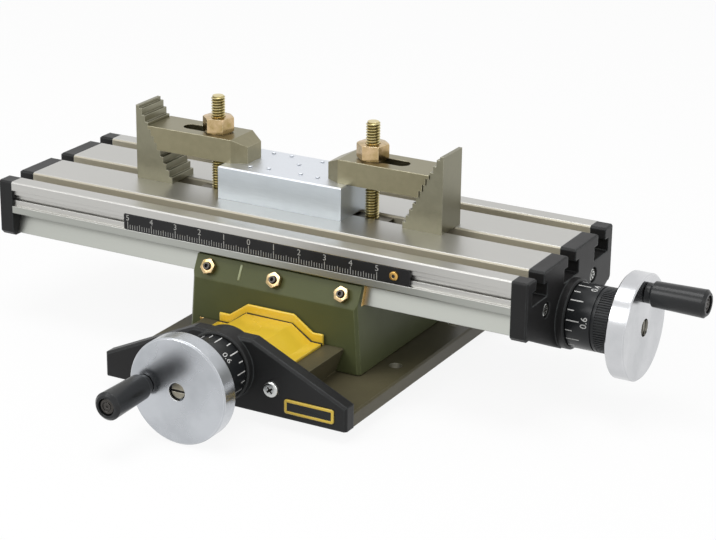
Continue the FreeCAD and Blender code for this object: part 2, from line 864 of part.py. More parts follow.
def grip_pin():
    seat = grip_length - grip_socket_depth + 0.1
    thread = grip_pin_thread_radius
    body = turned([
        (0, -4.5), (thread, -4.5), (thread, fine), (grip_pin_radius, fine),
        (grip_pin_radius, seat), (grip_pin_head_radius, seat),
        (grip_pin_head_radius, seat + grip_pin_head_height - 0.3),
        (grip_pin_head_radius - 0.3, seat + grip_pin_head_height),
        (0, seat + grip_pin_head_height)])
    half = grip_pin_head_radius + 1
    slit = box(-half, half, -0.35, 0.35, seat + grip_pin_head_height - 0.6,
               seat + grip_pin_head_height + 1)
    return at_grip(body.cut(slit))


# Ruler in the front channel
def ruler_span():
    middle = table_shift + ruler_middle
    return middle - ruler_length / 2, middle + ruler_length / 2


def ruler_screw_x():
    return ruler_span()[1] - ruler_screw_from_end


def make_ruler():
    x0, x1 = ruler_span()
    back = -half_table_width + channel_depth - fine
    strip = box(x0, x1, back - ruler_thickness, back, channel_low + ruler_side_gap,
                channel_high - ruler_side_gap)
    ends = edges_near(strip, lambda b: b.YLength > 0.5)
    strip = strip.makeFillet(0.5, ends)
    middle = (channel_low + channel_high) / 2
    hole = rod(Vector(ruler_screw_x(), back - 5, middle), Vector(0, 1, 0), 10,
               ruler_screw_diameter / 2 + 0.05)
    return strip.cut(hole)


def make_ruler_screw():
    middle = (channel_low + channel_high) / 2
    front = -half_table_width + channel_depth - fine - ruler_thickness
    screw = pan_screw(ruler_screw_diameter, ruler_thickness + undercut_lip + undercut_depth - 0.1,
                      ruler_screw_head, ruler_screw_head_height)
    turn = Rotation(Vector(0, 0, 1), Vector(0, -1, 0))
    place = FreeCAD.Placement(Vector(ruler_screw_x(), front, middle), turn)
    return moved(screw, place)


def make_ruler_clamp_nut():
    middle = (channel_low + channel_high) / 2
    half = undercut_height / 2 - ruler_side_gap
    lip = -half_table_width + channel_depth + undercut_lip
    x = ruler_screw_x()
    body = box(x - half, x + half, lip + 0.05, lip + undercut_depth - 0.1,
               middle - half, middle + half)
    hole = rod(Vector(x, lip - 5, middle), Vector(0, 1, 0), 10,
               ruler_screw_diameter / 2 + thread_gap)
    return body.cut(hole)


# Clamping sets; side is -1 for the left set and 1 for the right set
def stair_outline(side):
    foot = clamp_middle + side * step_foot_inner
    heel = foot + side * step_length
    base = table_height
    points = [(heel, base), (foot, base)]
    for k in range(1, step_count + 1):
        x = foot + side * step_run * (k - 1)
        points += [(x, base + step_rise * k), (x + side * step_run, base + step_rise * k)]
    last = foot + side * step_run * step_count
    points += [(last, base + step_height), (heel, base + step_height)]
    return points


def make_step_block(side):
    return prism_y(stair_outline(side), -step_width / 2, step_width / 2)


def bar_seat_step():
    return int(round(block_height / step_rise))


def bar_rear_points(side):
    # Teeth at the heel of the bar, matching the steps that they lean on.
    foot = clamp_middle + side * step_foot_inner
    first = bar_seat_step()
    seat = table_height + step_rise * first
    points = [(foot + side * (step_run * first - bar_tooth_gap), seat + fine)]
    k = first + 1
    while table_height + step_rise * k < seat + bar_thickness:
        z = table_height + step_rise * k + bar_tooth_gap
        points.append((foot + side * (step_run * (k - 1) - bar_tooth_gap), z))
        points.append((foot + side * (step_run * k - bar_tooth_gap), z))
        k += 1
    last_x = points[-1][0]
    points.append((last_x, seat + bar_thickness))
    return points


def make_clamp_bar(side):
    seat = table_height + block_height
    top = seat + bar_thickness
    toe = clamp_middle + side * bar_toe_from_middle
    shoulder = toe + side * bar_toe_length
    outline = [(shoulder, top), (toe, top - bar_toe_drop), (toe, seat + fine)]
    outline += bar_rear_points(side)
    body = prism_y(outline, -bar_width / 2, bar_width / 2)
    half = bar_width / 2
    wedge = prism_z([(toe, bar_toe_half_width), (shoulder, half), (shoulder, half + 3),
                     (toe - side * 3, half + 3), (toe - side * 3, bar_toe_half_width)],
                    seat - 1, top + 1)
    other = prism_z([(toe, -bar_toe_half_width), (shoulder, -half), (shoulder, -half - 3),
                     (toe - side * 3, -half - 3), (toe - side * 3, -bar_toe_half_width)],
                    seat - 1, top + 1)
    stud = clamp_middle + side * stud_from_middle
    near = stud - side * (stud_slot_start - bar_slot_width / 2)
    far = near + side * (bar_slot_length - bar_slot_width)
    radius = bar_slot_width / 2
    up = Vector(0, 0, 1)
    depth = bar_thickness + 2
    slot = box(min(near, far), max(near, far), -radius, radius, seat - 1, top + 1)
    round_near = rod(Vector(near, 0, seat - 1), up, depth, radius)
    round_far = rod(Vector(far, 0, seat - 1), up, depth, radius)
    return cut_all(body, [wedge, other, slot, round_near, round_far])


def make_stud(side):
    x = clamp_middle + side * stud_from_middle
    top = table_height + stud_above_table
    low = slot_floor + 0.4
    r = stud_diameter / 2
    body = turned([(0, low), (r, low), (r, top - 0.8), (r - 0.8, top), (0, top)])
    return moved(body, FreeCAD.Placement(Vector(x, 0, 0), Rotation()))


def make_clamp_nut(side):
    x = clamp_middle + side * stud_from_middle
    z = table_height + block_height + bar_thickness + fine
    bore = rod(Vector(0, 0, -1), Vector(0, 0, 1), clamp_nut_height + 2,
               stud_diameter / 2 + running_gap)
    body = nut_blank(clamp_nut_flats, clamp_nut_height).cut(bore)
    return moved(body, FreeCAD.Placement(Vector(x, 0, z), Rotation(Vector(0, 0, 1), 18)))


def make_t_nut(side):
    x = clamp_middle + side * stud_from_middle
    half_head = slot_head / 2 - t_nut_side_gap
    half_neck = slot_neck / 2 - t_nut_side_gap
    shoulder = slot_shoulder - t_nut_top_gap
    outline = mirrored([
        (half_head, slot_floor + fine), (half_head, shoulder),
        (half_neck, shoulder), (half_neck, table_height - slot_chamfer - 0.4)])
    body = prism_x(outline, x - t_nut_length / 2, x + t_nut_length / 2)
    bore = rod(Vector(x, 0, slot_floor - 1), Vector(0, 0, 1), 20,
               stud_diameter / 2 + thread_gap)
    return body.cut(bore)


def make_held_block():
    x = table_shift + block_x
    body = box(x - block_length / 2, x + block_length / 2, block_y - block_width / 2,
               block_y + block_width / 2, table_height + fine, table_height + block_height)
    return body.makeChamfer(0.4, edges_near(body, lambda b: b.ZMin > table_height + 1))


def wheel_set(prefix, place, length, wall, setback):
    return {
        prefix + "_bearing_bush": place(bearing_bush(wall, setback)),
        prefix + "_spindle": place(spindle(length, wall, setback)),
        prefix + "_handwheel": place(handwheel()),
        prefix + "_dial": place(dial()),
        prefix + "_dial_friction_ring": place(friction_ring()),
        prefix + "_wheel_screw": place(wheel_screw()),
        prefix + "_grip": place(grip()),
        prefix + "_grip_pin": place(grip_pin())}


def clamp_set(prefix, side):
    return {
        prefix + "_step_block": make_step_block(side),
        prefix + "_clamp_bar": make_clamp_bar(side),
        prefix + "_stud": make_stud(side),
        prefix + "_clamp_nut": make_clamp_nut(side),
        prefix + "_t_nut": make_t_nut(side)}


def build():
    parts = {
        "base": make_base(),
        "front_bracket": make_front_bracket(),
        "bracket_screws": make_bracket_screws(),
        "spindle_cover": make_spindle_cover(),
        "saddle": make_saddle(),
        "x_gib": make_x_gib(),
        "y_gib": make_y_gib(),
        "x_gib_screws": make_x_gib_screws(),
        "x_gib_lock_nuts": make_x_gib_nuts(),
        "y_gib_screws": make_y_gib_screws(),
        "y_gib_lock_nuts": make_y_gib_nuts(),
        "x_spindle_nut": make_x_spindle_nut(),
        "y_spindle_nut": make_y_spindle_nut(),
        "table_top": make_table_top(),
        "right_end_plate": make_right_end_plate(),
        "left_end_plate": make_left_end_plate(),
        "right_plate_screws": plate_screws(plate_outer_x, 1),
        "left_plate_screws": plate_screws(left_end_x - plate_thickness, -1),
        "ruler": make_ruler(),
        "ruler_screw": make_ruler_screw(),
        "ruler_clamp_nut": make_ruler_clamp_nut(),
        "held_block": make_held_block()}
    parts.update(wheel_set("x", on_x_axis, x_spindle_length, plate_thickness, bulge_setback))
    parts.update(wheel_set("y", on_y_axis, y_spindle_length, bracket_thickness, 0))
    parts.update(clamp_set("left", -1))
    parts.update(clamp_set("right", 1))
    return parts


os.makedirs("parts", exist_ok=True)
for name, shape in build().items():
    shape.exportStep("parts/" + name + ".step")
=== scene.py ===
import bmesh
import bpy
import math
from mathutils import Matrix, Vector


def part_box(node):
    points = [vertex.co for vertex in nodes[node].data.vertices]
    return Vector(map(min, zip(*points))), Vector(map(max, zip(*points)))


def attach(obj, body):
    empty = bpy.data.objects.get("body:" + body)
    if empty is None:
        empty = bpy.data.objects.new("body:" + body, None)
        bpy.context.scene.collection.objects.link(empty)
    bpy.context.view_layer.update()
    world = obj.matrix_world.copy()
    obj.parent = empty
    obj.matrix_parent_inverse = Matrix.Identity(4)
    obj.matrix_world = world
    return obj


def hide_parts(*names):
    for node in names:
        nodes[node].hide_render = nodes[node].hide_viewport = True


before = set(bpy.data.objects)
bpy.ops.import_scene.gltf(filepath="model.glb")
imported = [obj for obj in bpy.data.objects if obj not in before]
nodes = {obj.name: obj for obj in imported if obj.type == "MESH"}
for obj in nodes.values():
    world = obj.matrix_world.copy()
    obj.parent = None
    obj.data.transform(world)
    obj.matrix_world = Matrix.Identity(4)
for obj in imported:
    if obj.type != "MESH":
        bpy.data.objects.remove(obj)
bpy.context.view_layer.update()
print("frame loaded:", len(nodes), "nodes")

mm = 0.001
weld = 0.002 * mm


def sized(**millimetres):
    return {key: value * mm for key, value in millimetres.items()}


# The shaft of each wheel: a point on it, the turn that lays it on local Z, and its way out.
shafts = {"x": {"centre": (0, 0, 27.7 * mm), "toZ": (0, math.pi / 2, 0), "out": (1, 0, 0)},
          "y": {"centre": (0, 0, 14.2 * mm), "toZ": (math.pi / 2, 0, 0), "out": (0, -1, 0)}}


# Small helpers for modelling as by hand
def clearPick():
    if bpy.context.mode != "OBJECT":
        bpy.ops.object.mode_set(mode="OBJECT")
    bpy.ops.object.select_all(action="DESELECT")


def pick(obj):
    clearPick()
    obj.select_set(True)
    bpy.context.view_layer.objects.active = obj


def openMesh(obj, kind="FACE"):
    pick(obj)
    bpy.ops.object.mode_set(mode="EDIT")
    bpy.ops.mesh.select_mode(type=kind)
    pickAll("DESELECT")


def closeMesh():
    bpy.ops.object.mode_set(mode="OBJECT")


def pickAll(action="SELECT"):
    bpy.ops.mesh.select_all(action=action)


def pickParts(obj, parts, test):
    shape = bmesh.from_edit_mesh(obj.data)
    for part in getattr(shape, parts):
        part.select = test(part)
    shape.select_flush_mode()
    bmesh.update_edit_mesh(obj.data)


def pickFaces(obj, test):
    pickParts(obj, "faces", test)


def pickEdges(obj, test):
    pickParts(obj, "edges", test)


def rise(edge):
    return abs(edge.verts[0].co.z - edge.verts[1].co.z)


def bevelEdges(obj, test, **values):
    openMesh(obj, "EDGE")
    pickEdges(obj, test)
    bpy.ops.mesh.bevel(**values)
    closeMesh()


def sliceAt(point, normal=(0, 0, 1), **values):
    # Cuts the whole open mesh at a plane.
    pickAll()
    bpy.ops.mesh.bisect(threshold=1e-7, plane_co=point, plane_no=normal, **values)


def moveOut(*way):
    bpy.ops.mesh.extrude_region_move(TRANSFORM_OT_translate={"value": way})


def useModifier(obj, kind, **values):
    pick(obj)
    modifier = obj.modifiers.new(kind.lower(), kind)
    for key, value in values.items():
        setattr(modifier, key, value)
    bpy.ops.object.modifier_apply(modifier=modifier.name)


def cutWith(obj, tool, operation="DIFFERENCE"):
    useModifier(obj, "BOOLEAN", object=tool, operation=operation, solver="EXACT")
    bpy.data.objects.remove(tool, do_unlink=True)


def tidyNormals(obj):
    openMesh(obj, "VERT")
    pickAll()
    bpy.ops.mesh.remove_doubles(threshold=weld)
    bpy.ops.mesh.normals_make_consistent(inside=False)
    closeMesh()


def smooth(obj, degrees):
    pick(obj)
    bpy.ops.object.shade_smooth_by_angle(angle=math.radians(degrees))


def settle(obj):
    pick(obj)
    bpy.ops.object.transform_apply(location=True, rotation=True, scale=True)
    return obj


def place(obj, matrix):
    obj.matrix_world = matrix @ obj.matrix_world
    bpy.context.view_layer.update()
    return settle(obj)


def turned(degrees, axis="Z"):
    return Matrix.Rotation(math.radians(degrees), 4, axis)


def outward(point, direction, spin=0.0):
    turn = Vector(direction).to_track_quat("Z", "Y").to_matrix().to_4x4()
    return Matrix.Translation(point) @ turn @ turned(spin)


def atEnd(prefix, name, back, spot=None):
    # A point on a wheel's shaft, or on a line through spot, back from a node's outer end.
    low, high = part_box(name)
    x, y, z = spot or shafts[prefix]["centre"]
    return (high.x - back, y, z) if prefix == "x" else (x, low.y + back, z)


def linked(name, data):
    obj = bpy.data.objects.new(name, data)
    bpy.context.scene.collection.objects.link(obj)
    return obj


def fromPoints(name, points, edges, faces=()):
    mesh = bpy.data.meshes.new(name)
    mesh.from_pydata(points, edges, faces)
    return linked(name, mesh)


def turnProfile(name, profile, steps, screwRise=0, turns=1):
    # Turns a line of (radius, height) points about the Z axis.
    obj = fromPoints(name, [(r, 0, z) for r, z in profile],
                     [(i, i + 1) for i in range(len(profile) - 1)])
    useModifier(obj, "SCREW", axis="Z", screw_offset=screwRise, iterations=turns, steps=steps,
                render_steps=steps, use_merge_vertices=True, merge_threshold=weld)
    return obj


def copyOf(obj):
    return linked(obj.name, obj.data.copy())


def copiesAt(obj, places):
    # One finished shape at each place, joined as one piece.
    made = [obj] + [copyOf(obj) for spot in places[1:]]
    for twin, spot in zip(made, places):
        place(twin, spot)
    return joinAll(made)


def joinAll(objects):
    clearPick()
    for obj in objects:
        obj.select_set(True)
    bpy.context.view_layer.objects.active = objects[0]
    if len(objects) > 1:
        bpy.ops.object.join()
    return objects[0]


def addShape(add, **values):
    clearPick()
    add(**values)
    return settle(bpy.context.object)


def addCube(x0, x1, y0, y1, z0, z1):
    return addShape(bpy.ops.mesh.primitive_cube_add, size=1, scale=(x1 - x0, y1 - y0, z1 - z0),
                    location=((x0 + x1) / 2, (y0 + y1) / 2, (z0 + z1) / 2))


def addCylinder(radius, z0, z1, sides):
    return addShape(bpy.ops.mesh.primitive_cylinder_add, vertices=sides, radius=radius,
                    depth=z1 - z0, location=(0, 0, (z0 + z1) / 2))


def paint(mesh, material):
    mesh.materials.clear()
    mesh.materials.append(material)


def finishPiece(obj, name, body, material, replaced=()):
    obj.name = name
    obj.data.name = name
    paint(obj.data, material)
    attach(obj, body)
    if replaced:
        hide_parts(*replaced)
    return obj


# Material helpers
def addNode(tree, kind, values=None, links=None):
    node = tree.nodes.new(kind)
    for key, value in (values or {}).items():
        setattr(node, key, value)
    for key, value in (links or {}).items():
        socket = node.inputs[key]
        if isinstance(value, bpy.types.NodeSocket):
            tree.links.new(value, socket)
        else:
            socket.default_value = value
    return node


def mapRange(tree, value, low, high, toLow=0.0, toHigh=1.0):
    return addNode(tree, "ShaderNodeMapRange", {}, {
        "Value": value, "From Min": low, "From Max": high, "To Min": toLow,
        "To Max": toHigh}).outputs[0]


def calculate(tree, operation, first, second, clamp=False):
    return addNode(tree, "ShaderNodeMath", {"operation": operation, "use_clamp": clamp},
                   {0: first, 1: second}).outputs[0]


def combine(tree, operation, first, second=None):
    links = {0: first} if second is None else {0: first, 1: second}
    return addNode(tree, "ShaderNodeVectorMath", {"operation": operation}, links).outputs


def addNoise(tree, vector, scale, detail, rough=0.5):
    return addNode(tree, "ShaderNodeTexNoise", {}, {
        "Vector": vector, "Scale": scale, "Detail": detail, "Roughness": rough}).outputs["Fac"]


def splitPlace(tree, where):
    return addNode(tree, "ShaderNodeSeparateXYZ", {}, {0: where}).outputs


def newGroup(name, inputs, outputs):
    # A number makes a value input, and anything else a vector input.
    group = bpy.data.node_groups.new(name, "ShaderNodeTree")
    for label, value in inputs.items():
        kind = "Float" if isinstance(value, float) else "Vector"
        socket = group.interface.new_socket(label, in_out="INPUT",
                                            socket_type="NodeSocket" + kind)
        if value is not None:
            socket.default_value = value
    for label in outputs:
        kind = "Vector" if label == "Normal" else "Float"
        group.interface.new_socket(label, in_out="OUTPUT", socket_type="NodeSocket" + kind)
    start = group.nodes.new("NodeGroupInput").outputs
    return group, start, group.nodes.new("NodeGroupOutput").inputs


def buildStreaks():
    # Long fine streaks and broad clouds, as on brushed, drawn or milled metal.
    group, start, end = newGroup("streaks", {
        "Vector": None, "Stretch": (1, 1, 1), "Fine": 900.0, "Broad": 40.0}, ("Streak", "Cloud"))
    stretched = combine(group, "MULTIPLY", start["Vector"], start["Stretch"])[0]
    group.links.new(addNoise(group, stretched, start["Fine"], 3.0, 0.6), end["Streak"])
    group.links.new(addNoise(group, start["Vector"], start["Broad"], 3.0, 0.55), end["Cloud"])
    return group


def buildEdgeWear():
    # Mask along sharp edges, broken up a little, and a softened normal. Materials colour it
    # lighter: edge wear together with a painted highlight.
    group, start, end = newGroup("edgeWearAndHighlight", {
        "Vector": None, "Radius": 0.0004, "Strength": 1.0}, ("Edge", "Normal"))
    bevel = addNode(group, "ShaderNodeBevel", {"samples": 6}, {"Radius": start["Radius"]})
    flat = addNode(group, "ShaderNodeNewGeometry")
    dot = combine(group, "DOT_PRODUCT", bevel.outputs[0], flat.outputs["Normal"])["Value"]
    mask = mapRange(group, dot, 0.985, 0.86)
    patchy = mapRange(group, addNoise(group, start["Vector"], 260.0, 3.0), 0.35, 0.6, 0.35)
    wornAndHighlit = calculate(group, "MULTIPLY", mask, patchy)
    group.links.new(calculate(group, "MULTIPLY", wornAndHighlit, start["Strength"], True), end["Edge"])
    group.links.new(bevel.outputs[0], end["Normal"])
    return group


def buildCastSkin():
    # Orange peel of enamel on a casting, with soft shading from pooled paint and dust.
    group, start, end = newGroup("castSkin", {
        "Vector": None, "Peel": 900.0, "Cloud": 30.0}, ("Height", "Shade"))
    group.links.new(addNoise(group, start["Vector"], start["Peel"], 2.0), end["Height"])
    group.links.new(addNoise(group, start["Vector"], start["Cloud"], 4.0, 0.6), end["Shade"])
    return group


def buildTurnedRings():
    # Concentric tool marks about the local Z axis.
    group, start, end = newGroup("turnedRings", {"Vector": None, "Pitch": 3000.0},
                                 ("Ring", "Radius"))
    flat = combine(group, "MULTIPLY", start["Vector"], (1, 1, 0))[0]
    radius = combine(group, "LENGTH", flat)["Value"]
    line = addNode(group, "ShaderNodeCombineXYZ", {}, {"X": radius}).outputs[0]
    group.links.new(addNoise(group, line, start["Pitch"], 4.0, 0.7), end["Ring"])
    group.links.new(radius, end["Radius"])
    return group


groups = {"streaks": buildStreaks(), "edge": buildEdgeWear(), "cast": buildCastSkin(),
          "rings": buildTurnedRings()}


def useGroup(tree, name, **links):
    return addNode(tree, "ShaderNodeGroup", {"node_tree": groups[name]}, links).outputs


def startMaterial(name, metallic, roughness, coat=0.0, specular=0.5):
    material = bpy.data.materials.new(name)
    material.use_nodes = True
    tree = material.node_tree
    shader = tree.nodes["Principled BSDF"]
    for label, value in (("Metallic", metallic), ("Roughness", roughness), ("Coat Weight", coat),
                         ("Coat Roughness", 0.1), ("Specular IOR Level", specular)):
        shader.inputs[label].default_value = value
    coords = addNode(tree, "ShaderNodeTexCoord")
    return material, tree, shader, coords.outputs["Object"]


def feed(tree, shader, colour, rough, normal):
    for label, socket in (("Base Color", colour), ("Roughness", rough), ("Normal", normal)):
        if socket is not None:
            tree.links.new(socket, shader.inputs[label])


def mixColour(tree, factor, first, second):
    node = addNode(tree, "ShaderNodeMix", {"data_type": "RGBA"})
    for key, value in ((0, factor), (6, first), (7, second)):
        socket = node.inputs[key]
        if isinstance(value, bpy.types.NodeSocket):
            tree.links.new(value, socket)
        else:
            socket.default_value = (*value, 1) if socket.type == "RGBA" else value
    return node.outputs[2]


def bumpFrom(tree, height, strength, distance, normal=None):
    links = {"Height": height, "Strength": strength, "Distance": distance}
    if normal is not None:
        links["Normal"] = normal
    return addNode(tree, "ShaderNodeBump", {}, links).outputs[0]


def brushed(name, light, dark, roughLow, roughHigh, stretch=(1, 1, 1), fine=900.0, broad=200.0,
            depth=0.006 * mm, edge=None, radius=0.25 * mm, metallic=1.0, wornAndHighlit=0.8, zones=None):
    # Metal with streaks along one direction and brighter edges: edge wear with a painted
    # highlight.
    material, tree, shader, where = startMaterial(name, metallic, roughLow)
    streaks = useGroup(tree, "streaks", Vector=where, Stretch=stretch, Fine=fine, Broad=broad)
    wearAndHighlight = useGroup(tree, "edge", Vector=where, Radius=radius, Strength=wornAndHighlit)
    blend = calculate(tree, "ADD", mapRange(tree, streaks["Streak"], 0.3, 0.7, 0.0, 0.5),
                      mapRange(tree, streaks["Cloud"], 0.3, 0.7, 0.0, 0.5))
    colour = mixColour(tree, blend, dark, light)
    if zones:
        colour = zones(tree, shader, where, colour)
    feed(tree, shader, mixColour(tree, wearAndHighlight["Edge"], colour, edge or light),
         mapRange(tree, streaks["Streak"], 0.3, 0.7, roughLow, roughHigh),
         bumpFrom(tree, streaks["Streak"], 0.25, depth, wearAndHighlight["Normal"]))
    return material


def enamel(name, colour, dark, wornAndHighlit, roughness, peel=900.0, cloud=28.0, depth=0.04 * mm,
           edge=0.55, radius=0.5 * mm, coat=0.0, specular=0.5):
    # Enamel on a casting, with paler edges: edge wear with a painted highlight.
    material, tree, shader, where = startMaterial(name, 0.0, roughness, coat, specular)
    skin = useGroup(tree, "cast", Vector=where, Peel=peel, Cloud=cloud)
    wearAndHighlight = useGroup(tree, "edge", Vector=where, Radius=radius, Strength=edge)
    base = mixColour(tree, mapRange(tree, skin["Shade"], 0.3, 0.7), dark, colour)
    feed(tree, shader, mixColour(tree, wearAndHighlight["Edge"], base, wornAndHighlit),
         mapRange(tree, skin["Shade"], 0.25, 0.75, roughness + 0.06, roughness - 0.04),
         bumpFrom(tree, skin["Height"], 0.35, depth, wearAndHighlight["Normal"]))
    return material


tableZone = {"slotShadeColour": (0.50, 0.465, 0.365), "slabShadeColour": (0.385, 0.395, 0.365),
             **sized(slotTop=48.9, slotFloor=39.4, slotReach=32.2, slab=39.8)}


def tableZones(tree, shader, where, colour):
    # The slots are matt and carry painted shade and reflection, browner than the top; the lower
    # front carries painted shade, a little darker.
    parts = splitPlace(tree, where)

    def past(value, edge, way):
        return mapRange(tree, value, edge, edge + way * 0.2 * mm)

    side = calculate(tree, "ABSOLUTE", parts["Y"], 0.0)
    inside = mapRange(tree, side, tableZone["slotReach"], tableZone["slotReach"] - 0.4 * mm)
    slot = calculate(tree, "MULTIPLY", past(parts["Z"], tableZone["slotTop"], -1), inside)
    slot = calculate(tree, "MULTIPLY", slot, past(parts["Z"], tableZone["slotFloor"], 1))
    colour = mixColour(tree, slot, colour, tableZone["slotShadeColour"])
    tree.links.new(mapRange(tree, slot, 0.0, 1.0, 1.0, 0.25), shader.inputs["Metallic"])
    return mixColour(tree, past(parts["Z"], tableZone["slab"], -1), colour,
                     tableZone["slabShadeColour"])


def blockZones(tree, shader, where, colour):
    # The top face, under the clamps, is paler.
    top = mapRange(tree, splitPlace(tree, where)["Z"], blockTop - 0.6 * mm, blockTop - 0.2 * mm)
    return mixColour(tree, top, colour, (0.70, 0.725, 0.765))


def threaded(name, x, light, dark, rootShade):
    # Plated thread about an upright axis at x: light crests, and roots darkened with painted
    # shade.
    material, tree, shader, where = startMaterial(name, 1.0, 0.25)
    lay = addNode(tree, "ShaderNodeMapping", {"vector_type": "TEXTURE"}, {
        "Vector": where, "Location": (x, 0, 0)})
    rings = useGroup(tree, "rings", Vector=lay.outputs[0], Pitch=900.0)
    streaks = useGroup(tree, "streaks", Vector=where, Stretch=(1, 1, 1), Fine=700.0, Broad=180.0)
    end = mapRange(tree, splitPlace(tree, where)["Z"], studTop - 0.3 * mm, studTop - 0.2 * mm)
    crest = mapRange(tree, rings["Radius"], 2.05 * mm, 2.45 * mm)
    crest = calculate(tree, "MAXIMUM", crest, end)
    plated = mixColour(tree, mapRange(tree, streaks["Cloud"], 0.35, 0.65), dark, light)
    feed(tree, shader, mixColour(tree, crest, rootShade, plated),
         mapRange(tree, crest, 0.0, 1.0, 0.45, 0.2),
         bumpFrom(tree, streaks["Streak"], 0.2, 0.01 * mm))
    return material


def lathed(name, shaft, light, dark, roughLow, roughHigh):
    # Turned metal: the Mapping node lays the shaft's axis on local Z.
    material, tree, shader, where = startMaterial(name, 1.0, roughLow)
    lay = addNode(tree, "ShaderNodeMapping", {"vector_type": "TEXTURE"}, {
        "Vector": where, "Location": shaft["centre"], "Rotation": shaft["toZ"]}).outputs[0]
    rings = useGroup(tree, "rings", Vector=lay, Pitch=2600.0)
    streaks = useGroup(tree, "streaks", Vector=lay, Stretch=(1, 1, 1), Fine=420.0, Broad=60.0)
    wearAndHighlight = useGroup(tree, "edge", Vector=where, Radius=0.25 * mm, Strength=0.9)
    colour = mixColour(tree, mapRange(tree, streaks["Cloud"], 0.35, 0.65), dark, light)
    # The near-white edge colour is edge wear with a painted highlight.
    feed(tree, shader, mixColour(tree, wearAndHighlight["Edge"], colour, (0.95, 0.95, 0.96)),
         mapRange(tree, streaks["Cloud"], 0.3, 0.7, roughHigh, roughLow),
         bumpFrom(tree, rings["Ring"], 0.22, 0.02 * mm, wearAndHighlight["Normal"]))
    return material


def inked(name, colour, roughness=0.5):
    material, tree, shader, where = startMaterial(name, 0.0, roughness)
    skin = useGroup(tree, "cast", Vector=where, Peel=3000.0, Cloud=500.0)
    dim = tuple(c * 0.8 for c in colour)
    feed(tree, shader, mixColour(tree, mapRange(tree, skin["Shade"], 0.35, 0.65), dim, colour),
         None, bumpFrom(tree, skin["Height"], 0.1, 0.01 * mm))
    return material


blockTop = 61.0 * mm
studX = {}
for side in ("left", "right"):
    low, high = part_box(side + "_stud")
    studX[side] = (low.x + high.x) / 2
studTop = high.z

